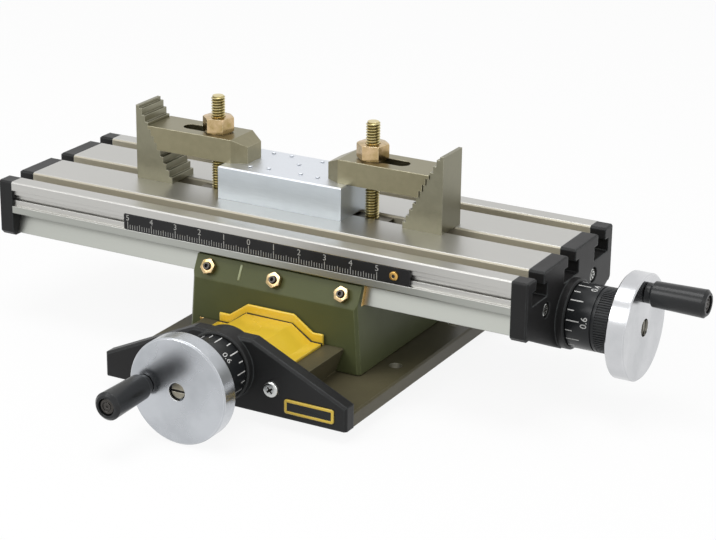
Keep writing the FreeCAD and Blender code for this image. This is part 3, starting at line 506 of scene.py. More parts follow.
finishes = {
    "table": brushed(
        "anodisedTable", (0.53, 0.525, 0.505), (0.495, 0.49, 0.465), 0.36, 0.40, (0.012, 1, 1),
        2600.0, 16.0, 0.004 * mm, (0.74, 0.74, 0.72), wornAndHighlit=0.55, zones=tableZones),
    "clamp": brushed(
        "clampSteel", (0.29, 0.265, 0.173), (0.228, 0.208, 0.13), 0.30, 0.38, (0.25, 1, 0.25),
        1500.0, 30.0, 0.008 * mm, (0.60, 0.57, 0.44), 0.3 * mm),
    "step": brushed(
        "stepSteel", (0.265, 0.255, 0.185), (0.205, 0.195, 0.14), 0.32, 0.40, (0.25, 1, 0.25),
        1500.0, 30.0, 0.008 * mm, (0.50, 0.49, 0.40), 0.3 * mm),
    "zinc": brushed(
        "nutZinc", (0.72, 0.525, 0.325), (0.36, 0.265, 0.10), 0.16, 0.26, fine=300.0, broad=330.0,
        depth=0.004 * mm, edge=(0.88, 0.78, 0.58)),
    "work": brushed(
        "milledBlock", (0.60, 0.645, 0.68), (0.52, 0.565, 0.605), 0.38, 0.48, (0.10, 1, 1),
        1500.0, 60.0, 0.012 * mm, (0.85, 0.87, 0.90), zones=blockZones),
    "tNut": brushed(
        "tNutSteel", (0.16, 0.145, 0.11), (0.10, 0.09, 0.07), 0.35, 0.45,
        edge=(0.30, 0.28, 0.22)),
    "dullZinc": brushed(
        "dullZinc", (0.34, 0.32, 0.26), (0.24, 0.22, 0.17), 0.28, 0.36, edge=(0.70, 0.68, 0.60)),
    # driveShadow is painted shade, used in drive recesses and in the cover's groove.
    "drive": brushed(
        "driveShadow", (0.05, 0.046, 0.038), (0.03, 0.028, 0.024), 0.5, 0.6, broad=300.0,
        metallic=0.0),
    "steel": brushed("brightSteel", (0.66, 0.67, 0.65), (0.52, 0.53, 0.52), 0.20, 0.32),
    "darkSteel": brushed(
        "darkSteel", (0.085, 0.08, 0.075), (0.05, 0.046, 0.042), 0.30, 0.42, broad=300.0,
        edge=(0.22, 0.21, 0.20)),
    "bareHoleAndPaintedLight": brushed(
        "drilledMetalAndPaintedLight", (0.45, 0.44, 0.37), (0.33, 0.32, 0.27), 0.4, 0.5, (1, 1, 0.1), 1200.0),
    "brass": brushed(
        "turnedBrass", (0.74, 0.46, 0.14), (0.58, 0.33, 0.09), 0.24, 0.36,
        edge=(0.95, 0.70, 0.35)),
    "olive": enamel(
        "oliveEnamel", (0.104, 0.117, 0.050), (0.086, 0.096, 0.042), (0.27, 0.29, 0.15), 0.38,
        edge=0.9, radius=0.7 * mm, specular=0.16),
    "brownOlive": enamel(
        "brownOliveEnamel", (0.110, 0.098, 0.056), (0.084, 0.073, 0.044), (0.25, 0.235, 0.145),
        0.33, specular=0.22),
    "black": enamel(
        "blackEnamel", (0.0215, 0.0225, 0.0225), (0.013, 0.012, 0.0125), (0.085, 0.096, 0.096),
        0.40, edge=0.8, radius=0.8 * mm, specular=0.21),
    "yellow": enamel(
        "yellowEnamel", (0.88, 0.61, 0.045), (0.80, 0.52, 0.03), (1.0, 0.80, 0.26), 0.26, 700.0,
        edge=0.7, radius=0.7 * mm, coat=0.3),
    "dial": enamel(
        "dialBlack", (0.020, 0.022, 0.024), (0.013, 0.014, 0.015), (0.07, 0.075, 0.08), 0.30,
        2500.0, depth=0.01 * mm, edge=0.5, radius=0.25 * mm, specular=0.26),
    "ruler": enamel(
        "rulerBlack", (0.018, 0.0185, 0.019), (0.010, 0.010, 0.011), (0.08, 0.08, 0.08), 0.38,
        1500.0, 90.0, 0.01 * mm, specular=0.25),
    "grip": enamel(
        "gripBlack", (0.018, 0.0195, 0.021), (0.012, 0.0125, 0.013), (0.05, 0.055, 0.058), 0.30,
        1200.0, depth=0.01 * mm, edge=0.5, coat=0.1, specular=0.28),
    "rubber": enamel(
        "ringRubber", (0.02, 0.02, 0.02), (0.015, 0.015, 0.015), (0.05, 0.05, 0.05), 0.6),
    # The two wheels are one turned metal; the front wheel's darker copy is painted shade.
    "xTurned": lathed(
        "xTurnedWheel", shafts["x"], (0.63, 0.635, 0.65), (0.52, 0.53, 0.545), 0.15, 0.26),
    "yTurnedShaded": lathed(
        "yTurnedWheelShaded", shafts["y"], (0.54, 0.56, 0.59), (0.43, 0.45, 0.475), 0.22, 0.34),
    "ink": inked("whiteInk", (0.80, 0.80, 0.78)),
    "dimInk": inked("rulerInk", (0.52, 0.52, 0.50)),
    "oliveHighlight": inked("oliveLineHighlight", (0.33, 0.36, 0.20), 0.4),
}
# Each stud's last colour is the painted shade in its thread roots.
for side, x in studX.items():
    finishes[side + "Thread"] = threaded(side + "ThreadZinc", x, (0.74, 0.65, 0.36),
                                         (0.60, 0.50, 0.23), (0.17, 0.14, 0.055))
print("materials made:", len(finishes))


def both(*names):
    return [prefix + name for name in names for prefix in ("left_", "right_")]


def pair(*names):
    return [prefix + name for name in names for prefix in ("x_", "y_")]


nodeFinish = {
    "table": ["table_top"],
    "clamp": both("clamp_bar"),
    "step": both("step_block"),
    "zinc": both("stud", "clamp_nut") + pair("gib_lock_nuts"),
    "tNut": both("t_nut"),
    "work": ["held_block"],
    "steel": ["bracket_screws"] + both("plate_screws") + pair("spindle", "wheel_screw"),
    "darkSteel": pair("grip_pin", "gib_screws"),
    "brass": pair("gib", "spindle_nut", "bearing_bush") + ["ruler_screw", "ruler_clamp_nut"],
    "olive": ["saddle"],
    "brownOlive": ["base"],
    "black": ["front_bracket"] + both("end_plate"),
    "yellow": ["spindle_cover"],
    "dial": pair("dial"),
    "ruler": ["ruler"],
    "grip": pair("grip"),
    "rubber": pair("dial_friction_ring"),
    "xTurned": ["x_handwheel"],
    "yTurnedShaded": ["y_handwheel"],
}
for finish, names in nodeFinish.items():
    for name in names:
        paint(nodes[name].data, finishes[finish])
assert sorted(n for names in nodeFinish.values() for n in names) == sorted(nodes)


# Threaded studs
stud = {"low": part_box("left_stud")[0].z, "top": studTop, "steps": 24,
        **sized(radius=2.5, root=2.0, pitch=1.0, chamfer=0.55)}


def makeHelix(size, low, top):
    # A closed threaded rod on the Z axis, cut off square at both ends.
    pitch, root, radius = size["pitch"], size["root"], size["radius"]
    start = low - 1.5 * pitch
    # Radii of one turn's outline, each at a share of the pitch.
    profile = [(root, 0.0), (root, 0.10), (radius, 0.42), (radius, 0.60), (root, 0.92),
               (root, 1.0)]
    obj = turnProfile("threadProfile", [(r, start + t * pitch) for r, t in profile],
                      size["steps"], pitch, int((top - low) / pitch) + 3)
    openMesh(obj, "VERT")
    pickAll()
    bpy.ops.mesh.remove_doubles(threshold=weld)
    sliceAt((0, 0, top), use_fill=True, clear_outer=True)
    sliceAt((0, 0, low), use_fill=True, clear_inner=True)
    pickAll()
    bpy.ops.mesh.dissolve_degenerate(threshold=2 * weld)
    closeMesh()
    tidyNormals(obj)
    return obj


def makeThread(x):
    obj = makeHelix(stud, stud["low"], stud["top"])
    for vertex in obj.data.vertices:  # turn the chamfer at the top end
        limit = stud["radius"] - stud["chamfer"] + stud["top"] - vertex.co.z
        reach = vertex.co.xy.length
        if reach > limit:
            vertex.co.x *= limit / reach
            vertex.co.y *= limit / reach
    place(obj, Matrix.Translation((x, 0, 0)))
    smooth(obj, 28)
    return obj


for side in ("left", "right"):
    finishPiece(makeThread(studX[side]), side + "_threaded_stud", side + "_clamp",
                finishes[side + "Thread"], (side + "_stud",))
print("studs threaded")


# Hexagon nuts with rounded shoulders
clampNut = {"turn": 18, **sized(flats=10.0, height=5.6, bore=2.56, collar=4.7, collarHeight=0.35)}
lockNut = {"turn": 30, "turnStep": 14,
           **sized(flats=5.0, height=2.2, bore=1.29, collar=2.3, collarHeight=0.12, pitch=26.5)}
# Shares of the corners' reach past the flats and of the bore's radius.
nutEdges = {"shoulder": 0.8, "mouth": 0.12}


def makeNut(size):
    corner = size["flats"] / math.sqrt(3)
    low, high = size["collarHeight"], size["height"]
    slack = 0.01 * mm
    obj = place(addCylinder(corner, low, high, 6), turned(30))
    limit = addCylinder(corner + 2 * slack, low - slack, high + slack, 64)
    bevelEdges(limit, lambda e: rise(e) < 1e-6, segments=2, profile=0.55,
               offset=(corner - size["flats"] / 2) * nutEdges["shoulder"])
    cutWith(obj, limit, "INTERSECT")
    cutWith(obj, addCylinder(size["collar"], 0, low + 0.1 * mm, 48), "UNION")
    cutWith(obj, addCylinder(size["bore"], -mm, high + mm, 40))
    bevelEdges(obj, lambda e: all(v.co.z > high - slack and v.co.xy.length < size["bore"] * 1.02
                                  for v in e.verts),
               offset=size["bore"] * nutEdges["mouth"], segments=1)
    tidyNormals(obj)
    smooth(obj, 26)
    return obj


for side in ("left", "right"):
    node = side + "_clamp_nut"
    seat = Matrix.Translation((studX[side], 0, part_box(node)[0].z))
    finishPiece(place(makeNut(clampNut), seat @ turned(clampNut["turn"])), side + "_hexagon_nut",
                node, finishes["zinc"], (node,))


def makeLockNuts(node, name, lean, along):
    # lean is the way that the nuts point, and along is the row that they stand in.
    low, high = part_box(node)
    middle = (low + high) / 2 - lean * lockNut["height"] / 2
    row = [outward(middle + along * (k * lockNut["pitch"]), lean,
                   lockNut["turn"] + lockNut["turnStep"] * k) for k in (-1, 0, 1)]
    finishPiece(copiesAt(makeNut(lockNut), row), name, "saddle",
                finishes["zinc"], (node,))


frontLean = math.radians(27)
sideLean = math.radians(4)
frontOut = Vector((0, -math.cos(frontLean), math.sin(frontLean)))
makeLockNuts("x_gib_lock_nuts", "x_hexagon_lock_nuts", frontOut, Vector((1, 0, 0)))
makeLockNuts("y_gib_lock_nuts", "y_hexagon_lock_nuts",
             Vector((-math.cos(sideLean), 0, math.sin(sideLean))), Vector((0, 1, 0)))
print("nuts made")


# Screw heads with their drives
# A spin is the angle in degrees at which a drive stands, and spinByPlace adds to it by the
# metre along Y.
bracketScrew = {"drive": "cross", "spins": (10, 38),
                **sized(radius=2.8, height=1.8, crown=0.9, driveSize=0.75, driveDepth=1.3,
                        shank=1.5, shankLength=11.9)}
plateScrew = {"drive": "cross", "spins": {"right": 20, "left": 65}, "spinByPlace": 900,
              **sized(radius=2.6, height=3.0, crown=1.3, driveSize=0.6, driveDepth=1.2,
                      shank=1.5, shankLength=8.9, seat=1.7)}
wheelScrew = {"drive": "slot", "spins": {"x": 78, "y": 0},
              **sized(radius=2.8, height=2.0, crown=0.5, driveSize=0.8, driveDepth=1.0,
                      shank=1.5, shankLength=7.5)}
rulerScrew = {"drive": "hex", "spin": 15,
              **sized(radius=1.6, height=0.8, crown=0.3, driveSize=1.2, driveDepth=0.5,
                      shank=0.8, shankLength=2.2)}
pinHead = {"drive": "rings", **sized(radius=2.7, height=1.2, crown=0.35, driveSize=3.6,
                                     driveDepth=0.4, shank=1.4, shankLength=24.0)}
# Shares of the head's radius for a cross and a slot, of an arm's length and width for a cross's
# tip and side, and of the drive's size for the others.
driveShape = {"crossReach": 0.62, "crossTip": 0.45, "crossSide": 0.8, "ringInside": 0.36,
              "ringDot": 0.13, "slotReach": 1.4, "crossShade": 0.66, "otherShade": 0.62}


def makeHead(size):
    height, radius, wide = size["height"], size["radius"], size["driveSize"]
    obj = addCylinder(radius, 0, height, 48)
    bevelEdges(obj, lambda e: all(v.co.z > height - 1e-6 for v in e.verts),
               offset=size["crown"], segments=4, profile=0.5)
    low, high = height - size["driveDepth"], height + mm
    if size["drive"] == "slot":
        far = radius * driveShape["slotReach"]
        cutWith(obj, addCube(-far, far, -wide / 2, wide / 2, low, high))
    if size["drive"] == "cross":
        reach = radius * driveShape["crossReach"]
        for a, b in ((reach, wide / 2), (wide / 2, reach)):
            tool = addCube(-a, a, -b, b, low, high)
            openMesh(tool, "VERT")
            pickFaces(tool, lambda f: f.normal.z < -0.9)
            tip, side = driveShape["crossTip"], driveShape["crossSide"]
            bpy.ops.transform.resize(value=(tip, side, 1) if a > b else (side, tip, 1))
            closeMesh()
            cutWith(obj, tool)
    if size["drive"] == "hex":
        cutWith(obj, addCylinder(wide / math.sqrt(3), low, high, 6))
    if size["drive"] == "rings":
        tool = addCylinder(wide / 2, low, high, 40)
        cutWith(tool, addCylinder(wide * driveShape["ringInside"], low - mm, high + mm, 40))
        cutWith(obj, tool)
        cutWith(obj, addCylinder(wide * driveShape["ringDot"], low, high, 20))
    cutWith(obj, addCylinder(size["shank"], -size["shankLength"], 0.1 * mm, 24), "UNION")
    tidyNormals(obj)
    smooth(obj, 30)
    return obj


def shadeDrives(obj, places, size):
    # The recess of each drive is painted dark, as painted shade.
    obj.data.materials.append(finishes["drive"])
    radius, height = size["radius"], size["height"]
    reach = size["driveSize"] * driveShape["otherShade"]
    if size["drive"] == "cross":
        reach = radius * driveShape["crossShade"]
    for spot in places:
        back = spot.inverted()
        for face in obj.data.polygons:
            local = back @ face.center
            inside = abs(local.y) if size["drive"] == "slot" else local.xy.length
            sunk = height - size["driveDepth"] - 1e-5 < local.z < height - 2e-5
            if sunk and inside < reach and local.xy.length < radius * 1.01:
                face.material_index = 1


def makeHeads(name, places, body, finish, node, size):
    heads = finishPiece(copiesAt(makeHead(size), places), name, body,
                        finishes[finish], (node,))
    if size["drive"] != "rings":
        shadeDrives(heads, places, size)


low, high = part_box("bracket_screws")
makeHeads("bracket_cross_screws",
          [outward((x, low.y + bracketScrew["height"], (low.z + high.z) / 2), (0, -1, 0), spin)
           for x, spin in zip((low.x + bracketScrew["radius"], high.x - bracketScrew["radius"]),
                              bracketScrew["spins"])],
          "base", "steel", "bracket_screws", bracketScrew)
for name, spin in plateScrew["spins"].items():
    node = name + "_plate_screws"
    low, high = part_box(node)
    way = 1 if name == "right" else -1
    seat = (high.x if name == "right" else low.x) - way * plateScrew["seat"]
    makeHeads(name + "_cross_screws",
              [outward((seat, y, (low.z + high.z) / 2), (way, 0, 0),
                       spin + plateScrew["spinByPlace"] * y)
               for y in (low.y + plateScrew["radius"], high.y - plateScrew["radius"])],
              "table", "steel", node, plateScrew)
for prefix, spin in wheelScrew["spins"].items():
    screw = prefix + "_wheel_screw"
    makeHeads(prefix + "_slotted_screw",
              [outward(atEnd(prefix, screw, wheelScrew["height"]), shafts[prefix]["out"], spin)],
              prefix + "_wheel", "dullZinc", screw, wheelScrew)
for prefix in ("x", "y"):
    pin = prefix + "_grip_pin"
    low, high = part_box(pin)
    makeHeads(prefix + "_grip_pin_head",
              [outward(atEnd(prefix, pin, pinHead["height"], (low + high) / 2),
                       shafts[prefix]["out"])],
              prefix + "_wheel", "darkSteel", pin, pinHead)
low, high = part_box("ruler_screw")
makeHeads("ruler_socket_screw",
          [outward(atEnd("y", "ruler_screw", rulerScrew["height"], (low + high) / 2),
                   (0, -1, 0), rulerScrew["spin"])],
          "ruler", "brass", "ruler_screw", rulerScrew)
print("screws made")


# Feed spindles, threaded up to their thrust collars
spindle = {"steps": 20, "x": {"carrier": "right_end_plate", "sunk": 0.0, "inner": -4.65 * mm},
           "y": {"carrier": "front_bracket", "sunk": 3.0 * mm, "inner": -5.15 * mm},
           **sized(radius=3.0, root=2.45, pitch=1.0, end=2.5, collar=4.5, collarWidth=2.4,
                   shoulder=3.1, relief=1.2, neck=0.4, tapped=1.53, tappedDepth=9.0)}


def makeSpindle(length, tip, inner, leftHand):
    # Local Z points outward and is zero at the face that carries the bearing.
    radius, collar, end = spindle["radius"], spindle["collar"], spindle["end"]
    tapped, bottom = spindle["tapped"], tip - spindle["tappedDepth"]
    back = inner - spindle["collarWidth"]
    top = back - spindle["relief"]
    thread = makeHelix(spindle, -length, top)
    if leftHand:
        place(thread, Matrix.Scale(-1, 4, (1, 0, 0)))
        tidyNormals(thread)
    journal = turnProfile("journal", [
        (0, top - spindle["neck"]), (spindle["root"], top - spindle["neck"]), (radius, top),
        (radius, back), (collar, back), (collar, inner), (radius, inner),
        (radius, spindle["shoulder"]), (end, spindle["shoulder"]), (end, tip), (tapped, tip),
        (tapped, bottom), (0, bottom)], 48)
    tidyNormals(journal)
    obj = joinAll([thread, journal])
    smooth(obj, 28)
    return obj


for prefix in ("x", "y"):
    size, node = spindle[prefix], prefix + "_spindle"
    low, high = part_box(node)
    face = atEnd(prefix, size["carrier"], size["sunk"])
    ends = (face[0] - low.x, high.x - face[0]) if prefix == "x" else (
        high.y - face[1], face[1] - low.y)
    obj = place(makeSpindle(*ends, size["inner"], prefix == "y"),
                outward(face, shafts[prefix]["out"]))
    finishPiece(obj, prefix + "_threaded_spindle", prefix + "_wheel",
                finishes["steel"], (node,))
print("spindles threaded")


# Ruler lines and numerals
rulerSize = {"wider": 1.25,
             **sized(zero=-11.2, front=-34.93, low=40.15, thick=0.03, bed=0.02, width=0.19,
                     millimetre=1.7, half=2.1, centimetre=2.7, digitSize=3.0,
                     digitMiddle=44.15)}


def makeLine(width, length, thick):
    # A thin raised line of ink with a rounded end, standing on local X Y.
    obj = addCube(-width / 2, width / 2, 0, length, 0, thick)
    bevelEdges(obj, lambda e: all(v.co.y > length * 0.9 for v in e.verts)
               and rise(e) > thick / 2, offset=width * 0.3, segments=1)
    return obj


def makeText(words, size, thick=0.0):
    clearPick()
    bpy.ops.object.text_add(location=(0, 0, 0))
    obj = bpy.context.object
    obj.data.body = words
    obj.data.size = size
    obj.data.align_x = "CENTER"
    obj.data.align_y = "CENTER"
    obj.data.extrude = thick / 2
    obj.data.resolution_u = 3
    bpy.ops.object.convert(target="MESH")
    return bpy.context.object


def onRuler(millimetres, lift, z):
    spot = (rulerSize["zero"] + millimetres * mm, rulerSize["front"] + lift, z)
    return Matrix.Translation(spot) @ turned(90, "X")


def makeRulerLines():
    kinds = {"centimetre": [], "half": [], "millimetre": []}
    for k in range(-50, 51):
        kind = "centimetre" if k % 10 == 0 else "half" if k % 5 == 0 else "millimetre"
        kinds[kind].append(onRuler(k, rulerSize["bed"], rulerSize["low"]))
    return joinAll([copiesAt(makeLine(
        rulerSize["width"] * (rulerSize["wider"] if kind == "centimetre" else 1.0),
        rulerSize[kind], rulerSize["thick"]), places) for kind, places in kinds.items()])


finishPiece(makeRulerLines(), "ruler_lines", "ruler", finishes["dimInk"])
digits = [place(makeText(str(abs(k)), rulerSize["digitSize"], rulerSize["thick"]),
                onRuler(k * 10, 0, rulerSize["digitMiddle"])) for k in range(-5, 6)]
finishPiece(joinAll(digits), "ruler_numerals", "ruler", finishes["dimInk"])
print("ruler marked")


# Dial lines and numerals, wrapped on the drum
dialSize = {"step": 18, "count": 20, "first": {"x": 180 + 80.5, "y": 90 - 48},
            **sized(radius=11.2, start=0.35, short=2.3, long=4.6, width=0.38, thick=0.03,
                    bed=0.005, digitSize=3.3, digitMiddle=6.75)}


def makeNumeral(words, angle):
    # Reading runs around the shaft, and the tops of the numerals point at the boss.
    lift = dialSize["radius"]
    stand = Matrix(((0, 0, 1, 0), (-1, 0, 0, 0), (0, -1, 0, 0), (0, 0, 0, 1)))
    obj = place(makeText(words, dialSize["digitSize"]), turned(angle) @ Matrix.Translation(
        (lift, 0, dialSize["digitMiddle"])) @ stand)
    openMesh(obj)
    pickAll()
    bpy.ops.mesh.quads_convert_to_tris()
    bpy.ops.mesh.subdivide(number_cuts=1)
    closeMesh()
    for vertex in obj.data.vertices:  # roll the flat numeral onto the drum
        flat = turned(-angle) @ vertex.co
        rolled = math.degrees(flat.y / lift)
        vertex.co = turned(angle + rolled) @ Vector((lift, 0, flat.z))
    useModifier(obj, "SOLIDIFY", thickness=dialSize["thick"], offset=0)
    return obj


def makeDialMarks(frameMatrix, firstAngle):
    # Local Z points outward along the shaft from the fixed boss, and angle 0 is local X.
    # The number 0.6 stands at firstAngle. A line's Y runs along the shaft, and its Z away.
    stand = Matrix(((0, 0, 1, 0), (1, 0, 0, 0), (0, 1, 0, 0), (0, 0, 0, 1)))
    seat = Matrix.Translation((dialSize["radius"] - dialSize["bed"], 0, dialSize["start"]))
    angles = [firstAngle + dialSize["step"] * k for k in range(dialSize["count"])]
    marks = joinAll([copiesAt(
        makeLine(dialSize["width"], dialSize[length], dialSize["thick"]),
        [turned(angle) @ seat @ stand for angle in angles[odd::2]])
        for odd, length in ((0, "long"), (1, "short"))])
    place(marks, frameMatrix)
    numerals = []
    for k, angle in enumerate(angles[::4]):
        value = (6 + 2 * k) % 10
        numerals.append(makeNumeral("0." + str(value) if value else "0", angle))
    numerals = place(joinAll(numerals), frameMatrix)
    tidyNormals(numerals)
    return marks, numerals


xDialLow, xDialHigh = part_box("x_dial")
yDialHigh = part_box("y_dial")[1]
fluted = {"length": xDialHigh.x - xDialLow.x, "groove": (8.7 * mm, 9.3 * mm),
          "flutes": (10.1 * mm, 16.2 * mm), "count": 76,
          **sized(bore=6.14, grooveInset=0.01, grooveDepth=0.5, fluteInset=0.04, fluteDepth=0.4,
                  end=0.3)}


def makeDial():
    sides = fluted["count"] * 4
    radius, length = dialSize["radius"], fluted["length"]
    obj = addCylinder(radius, 0, length, sides)
    cutWith(obj, addCylinder(fluted["bore"], -mm, length + mm, 96))
    openMesh(obj)
    for z in fluted["groove"] + fluted["flutes"]:
        sliceAt((0, 0, z))

    def onDrum(spot, band):
        return spot.xy.length > radius * 0.98 and band[0] < spot.z < band[1]

    def inFlute(face):
        spot = face.calc_center_median()
        step = math.floor(math.atan2(spot.y, spot.x) / (2 * math.pi) * sides) % 4
        return step < 2 and onDrum(spot, fluted["flutes"])

    pickAll("DESELECT")
    pickFaces(obj, lambda f: onDrum(f.calc_center_median(), fluted["groove"]))
    bpy.ops.mesh.inset(thickness=fluted["grooveInset"], depth=-fluted["grooveDepth"])
    pickFaces(obj, inFlute)
    bpy.ops.mesh.inset(thickness=fluted["fluteInset"], depth=-fluted["fluteDepth"])
    closeMesh()
    bevelEdges(obj, lambda e: all(v.co.xy.length > radius * 0.98 for v in e.verts)
               and rise(e) < 1e-6 and not 1e-6 <= e.verts[0].co.z <= length - 1e-6,
               offset=fluted["end"], segments=2)
    tidyNormals(obj)
    smooth(obj, 25)
    return obj


# Columns are the local axes in the part's frame. Local X is down in the long wheel's frame,
# and to the right in the front one's.
xHeight, yHeight = shafts["x"]["centre"][2], shafts["y"]["centre"][2]
xFrame = Matrix(((0, 0, 1, xDialLow.x), (0, 1, 0, 0), (-1, 0, 0, xHeight), (0, 0, 0, 1)))
yFrame = Matrix(((1, 0, 0, 0), (0, 0, -1, yDialHigh.y), (0, 1, 0, yHeight), (0, 0, 0, 1)))
for prefix, matrix in (("x", xFrame), ("y", yFrame)):
    dial = prefix + "_dial"
    finishPiece(place(makeDial(), matrix), prefix + "_fluted_dial", dial,
                finishes["dial"], (dial,))
    marks, numerals = makeDialMarks(matrix, dialSize["first"][prefix])
    finishPiece(marks, dial + "_lines", dial, finishes["ink"])
    finishPiece(numerals, dial + "_numerals", dial, finishes["ink"])
print("dials marked")


# Bare plate on the bracket
plate = sized(x=33.5, z=4.6, length=18.6, height=5.0, thick=0.45, rim=0.95, corner=0.9, sunk=0.12)


def makeBarePlate():
    obj = addCube(-plate["length"] / 2, plate["length"] / 2, -plate["height"] / 2,
                  plate["height"] / 2, 0, plate["thick"])
    bevelEdges(obj, lambda e: rise(e) > plate["thick"] / 2, offset=plate["corner"], segments=6)
    openMesh(obj)
    pickFaces(obj, lambda f: f.normal.z > 0.9)
    bpy.ops.mesh.inset(thickness=plate["rim"])
    moveOut(0, 0, -plate["sunk"])
    closeMesh()
    front = atEnd("y", spindle["y"]["carrier"], spindle["y"]["sunk"])[1]
    return place(obj, outward((plate["x"], front, plate["z"]), (0, -1, 0)))


def darkenField(obj):
    # The sunk field inside the yellow rim is black.
    obj.data.materials.append(finishes["ruler"])
    surface = min(v.co.y for v in obj.data.vertices)
    for face in obj.data.polygons:
        if face.normal.y < -0.9 and surface + plate["sunk"] / 2 < face.center.y:
            face.material_index = 1


darkenField(finishPiece(makeBarePlate(), "bare_plate", "base",
                        finishes["yellow"]))
print("plate made")


# Folded cover over the front spindle, with a rolled lip
cover = sized(plateau=9.2, slope=7.4, wing=20.6, rise=5.2, sheet=1.0, lip=3.0, lipWidth=1.0,
              groove=1.0, grooveDepth=0.55, roll=0.48, edge=0.16)
coverLow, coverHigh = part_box("spindle_cover")
cover["top"] = coverLow.z + cover["sheet"]
cover["lipFront"] = coverHigh.y - cover["lipWidth"]


def makeCover():
    low, high, top, lipFront = coverLow, coverHigh, cover["top"], cover["lipFront"]
    foot = cover["plateau"] + cover["slope"]
    upper = [(cover["wing"], top), (foot, top), (cover["plateau"], top + cover["rise"])]
    inset = cover["sheet"] * 0.3
    lower = [(cover["plateau"] - inset, low.z + cover["rise"]), (foot - inset, low.z),
             (cover["wing"], low.z)]
    outline = upper + [(-x, z) for x, z in reversed(upper)]
    outline += [(-x, z) for x, z in reversed(lower)] + lower
    obj = fromPoints("cover", [(x, low.y, z) for x, z in outline], [], [range(len(outline))])
    openMesh(obj)
    pickAll()
    moveOut(0, high.y - low.y, 0)
    for y in (lipFront - cover["groove"], lipFront):
        sliceAt((0, y, 0), (0, 1, 0))
    pickAll()
    bpy.ops.mesh.normals_make_consistent(inside=False)
    pickAll("DESELECT")
    pickFaces(obj, lambda f: f.normal.z > 0.5 and f.calc_center_median().y > lipFront)
    moveOut(0, 0, cover["lip"])
    bpy.ops.mesh.select_mode(type="EDGE")
    pickEdges(obj, lambda e: min(v.co.z for v in e.verts) > top + cover["lip"] - 1e-5
              and abs(e.verts[0].co.y - e.verts[1].co.y) < 1e-6
              and min(v.co.y for v in e.verts) > lipFront - 1e-6)
    bpy.ops.mesh.bevel(offset=cover["roll"], segments=4)
    bpy.ops.mesh.select_mode(type="FACE")
    pickFaces(obj, lambda f: f.normal.z > 0.5
              and lipFront - cover["groove"] < f.calc_center_median().y < lipFront)
    moveOut(0, 0, -cover["grooveDepth"])
    closeMesh()
    tidyNormals(obj)
    useModifier(obj, "BEVEL", width=cover["edge"], segments=2, limit_method="ANGLE",
                angle_limit=math.radians(28))
    smooth(obj, 34)
    return obj


def shadeGroove(obj):
    # The narrow gap in front of the lip is painted dark, as painted shade at the lip's foot.
    obj.data.materials.append(finishes["drive"])
    slack = 0.03 * mm
    for face in obj.data.polygons:
        x, y, z = face.center
        along = (cover["plateau"] + cover["slope"] - abs(x)) / cover["slope"]
        surface = cover["top"] + cover["rise"] * min(max(along, 0), 1)
        between = cover["lipFront"] - cover["groove"] - slack < y < cover["lipFront"] + slack
        if between and surface - cover["grooveDepth"] - slack < z < surface - slack:
            face.material_index = 1


shadeGroove(finishPiece(makeCover(), "folded_cover", "base",
                        finishes["yellow"], ("spindle_cover",)))
print("cover made")


# Bare metal walls of the drilled flange holes, whose pale colour is also painted light, standing
# in for light seen through the holes.
hole = sized(x=40.0, y=22.5, radius=2.25, wall=0.08, press=0.02, low=0.05, top=5.02)


def makeHoleWalls():
    wall = addCylinder(hole["radius"] + hole["press"], hole["low"], hole["top"], 40)
    cutWith(wall, addCylinder(hole["radius"] - hole["wall"], -mm, hole["top"] + mm, 40))
    smooth(wall, 30)
    return copiesAt(wall, [Matrix.Translation((x, y, 0)) for x in (-hole["x"], hole["x"])
                           for y in (-hole["y"], hole["y"])])


finishPiece(makeHoleWalls(), "drilled_hole_walls", "base",
            finishes["bareHoleAndPaintedLight"])


# Raised index line on the saddle, coloured paler than the casting as a painted highlight.
indexLine = sized(x=-14.3, width=0.9, length=5.6, thick=0.3, root=0.1, low=30.2, leanY=-37.5,
                  leanZ=28.6)


def makeIndexLine():
    obj = addCube(-indexLine["width"] / 2, indexLine["width"] / 2, 0, indexLine["length"],
                  -indexLine["root"], indexLine["thick"])
    bevelEdges(obj, lambda e: all(v.co.z > indexLine["thick"] * 0.9 for v in e.verts),
               offset=indexLine["thick"] * 0.6, segments=3)
    face = indexLine["leanY"] + (indexLine["low"] - indexLine["leanZ"]) * math.tan(frontLean)
    up = Vector((0, math.sin(frontLean), math.cos(frontLean)))
    matrix = Matrix((up.cross(frontOut), up, frontOut)).transposed().to_4x4()
    matrix.translation = (indexLine["x"], face, indexLine["low"])
    place(obj, matrix)
    smooth(obj, 40)
    return obj


finishPiece(makeIndexLine(), "index_line", "saddle", finishes["oliveHighlight"])


# Pips on the held block
pips = {"spots": [(-28.6, 11.0), (-21.4, 11.3), (-8.5, 11.0), (-14.1, 4.1), (-27.6, -7.0),
                  (-20.8, -5.5), (-8.0, -5.1), (-1.0, -5.4), (-1.0, 4.4), (-0.4, 11.2)],
        **sized(radius=0.85, height=0.28, root=0.1)}


def makePips():
    obj = addShape(bpy.ops.mesh.primitive_uv_sphere_add, segments=20, ring_count=12,
                   radius=pips["radius"])
    openMesh(obj, "VERT")
    sliceAt((0, 0, -pips["root"]), clear_inner=True, use_fill=True)
    pickAll()
    bpy.ops.transform.resize(value=(1, 1, pips["height"] / pips["radius"]))
    closeMesh()
    smooth(obj, 60)
    return copiesAt(obj, [Matrix.Translation((x * mm, y * mm, blockTop))
                          for x, y in pips["spots"]])


finishPiece(makePips(), "block_pips", "table", finishes["work"])
print("small marks made")


# Floor, lights and camera
stageSize = {"reach": 3.0, "glow": 0.9, "pale": (0.93, 0.93, 0.93),
             "forBounce": (0.45, 0.45, 0.45),
             **sized(floor=-4.35, plinthX=36, plinthY=55, plinthTop=-0.1, plinthEdge=0.5)}
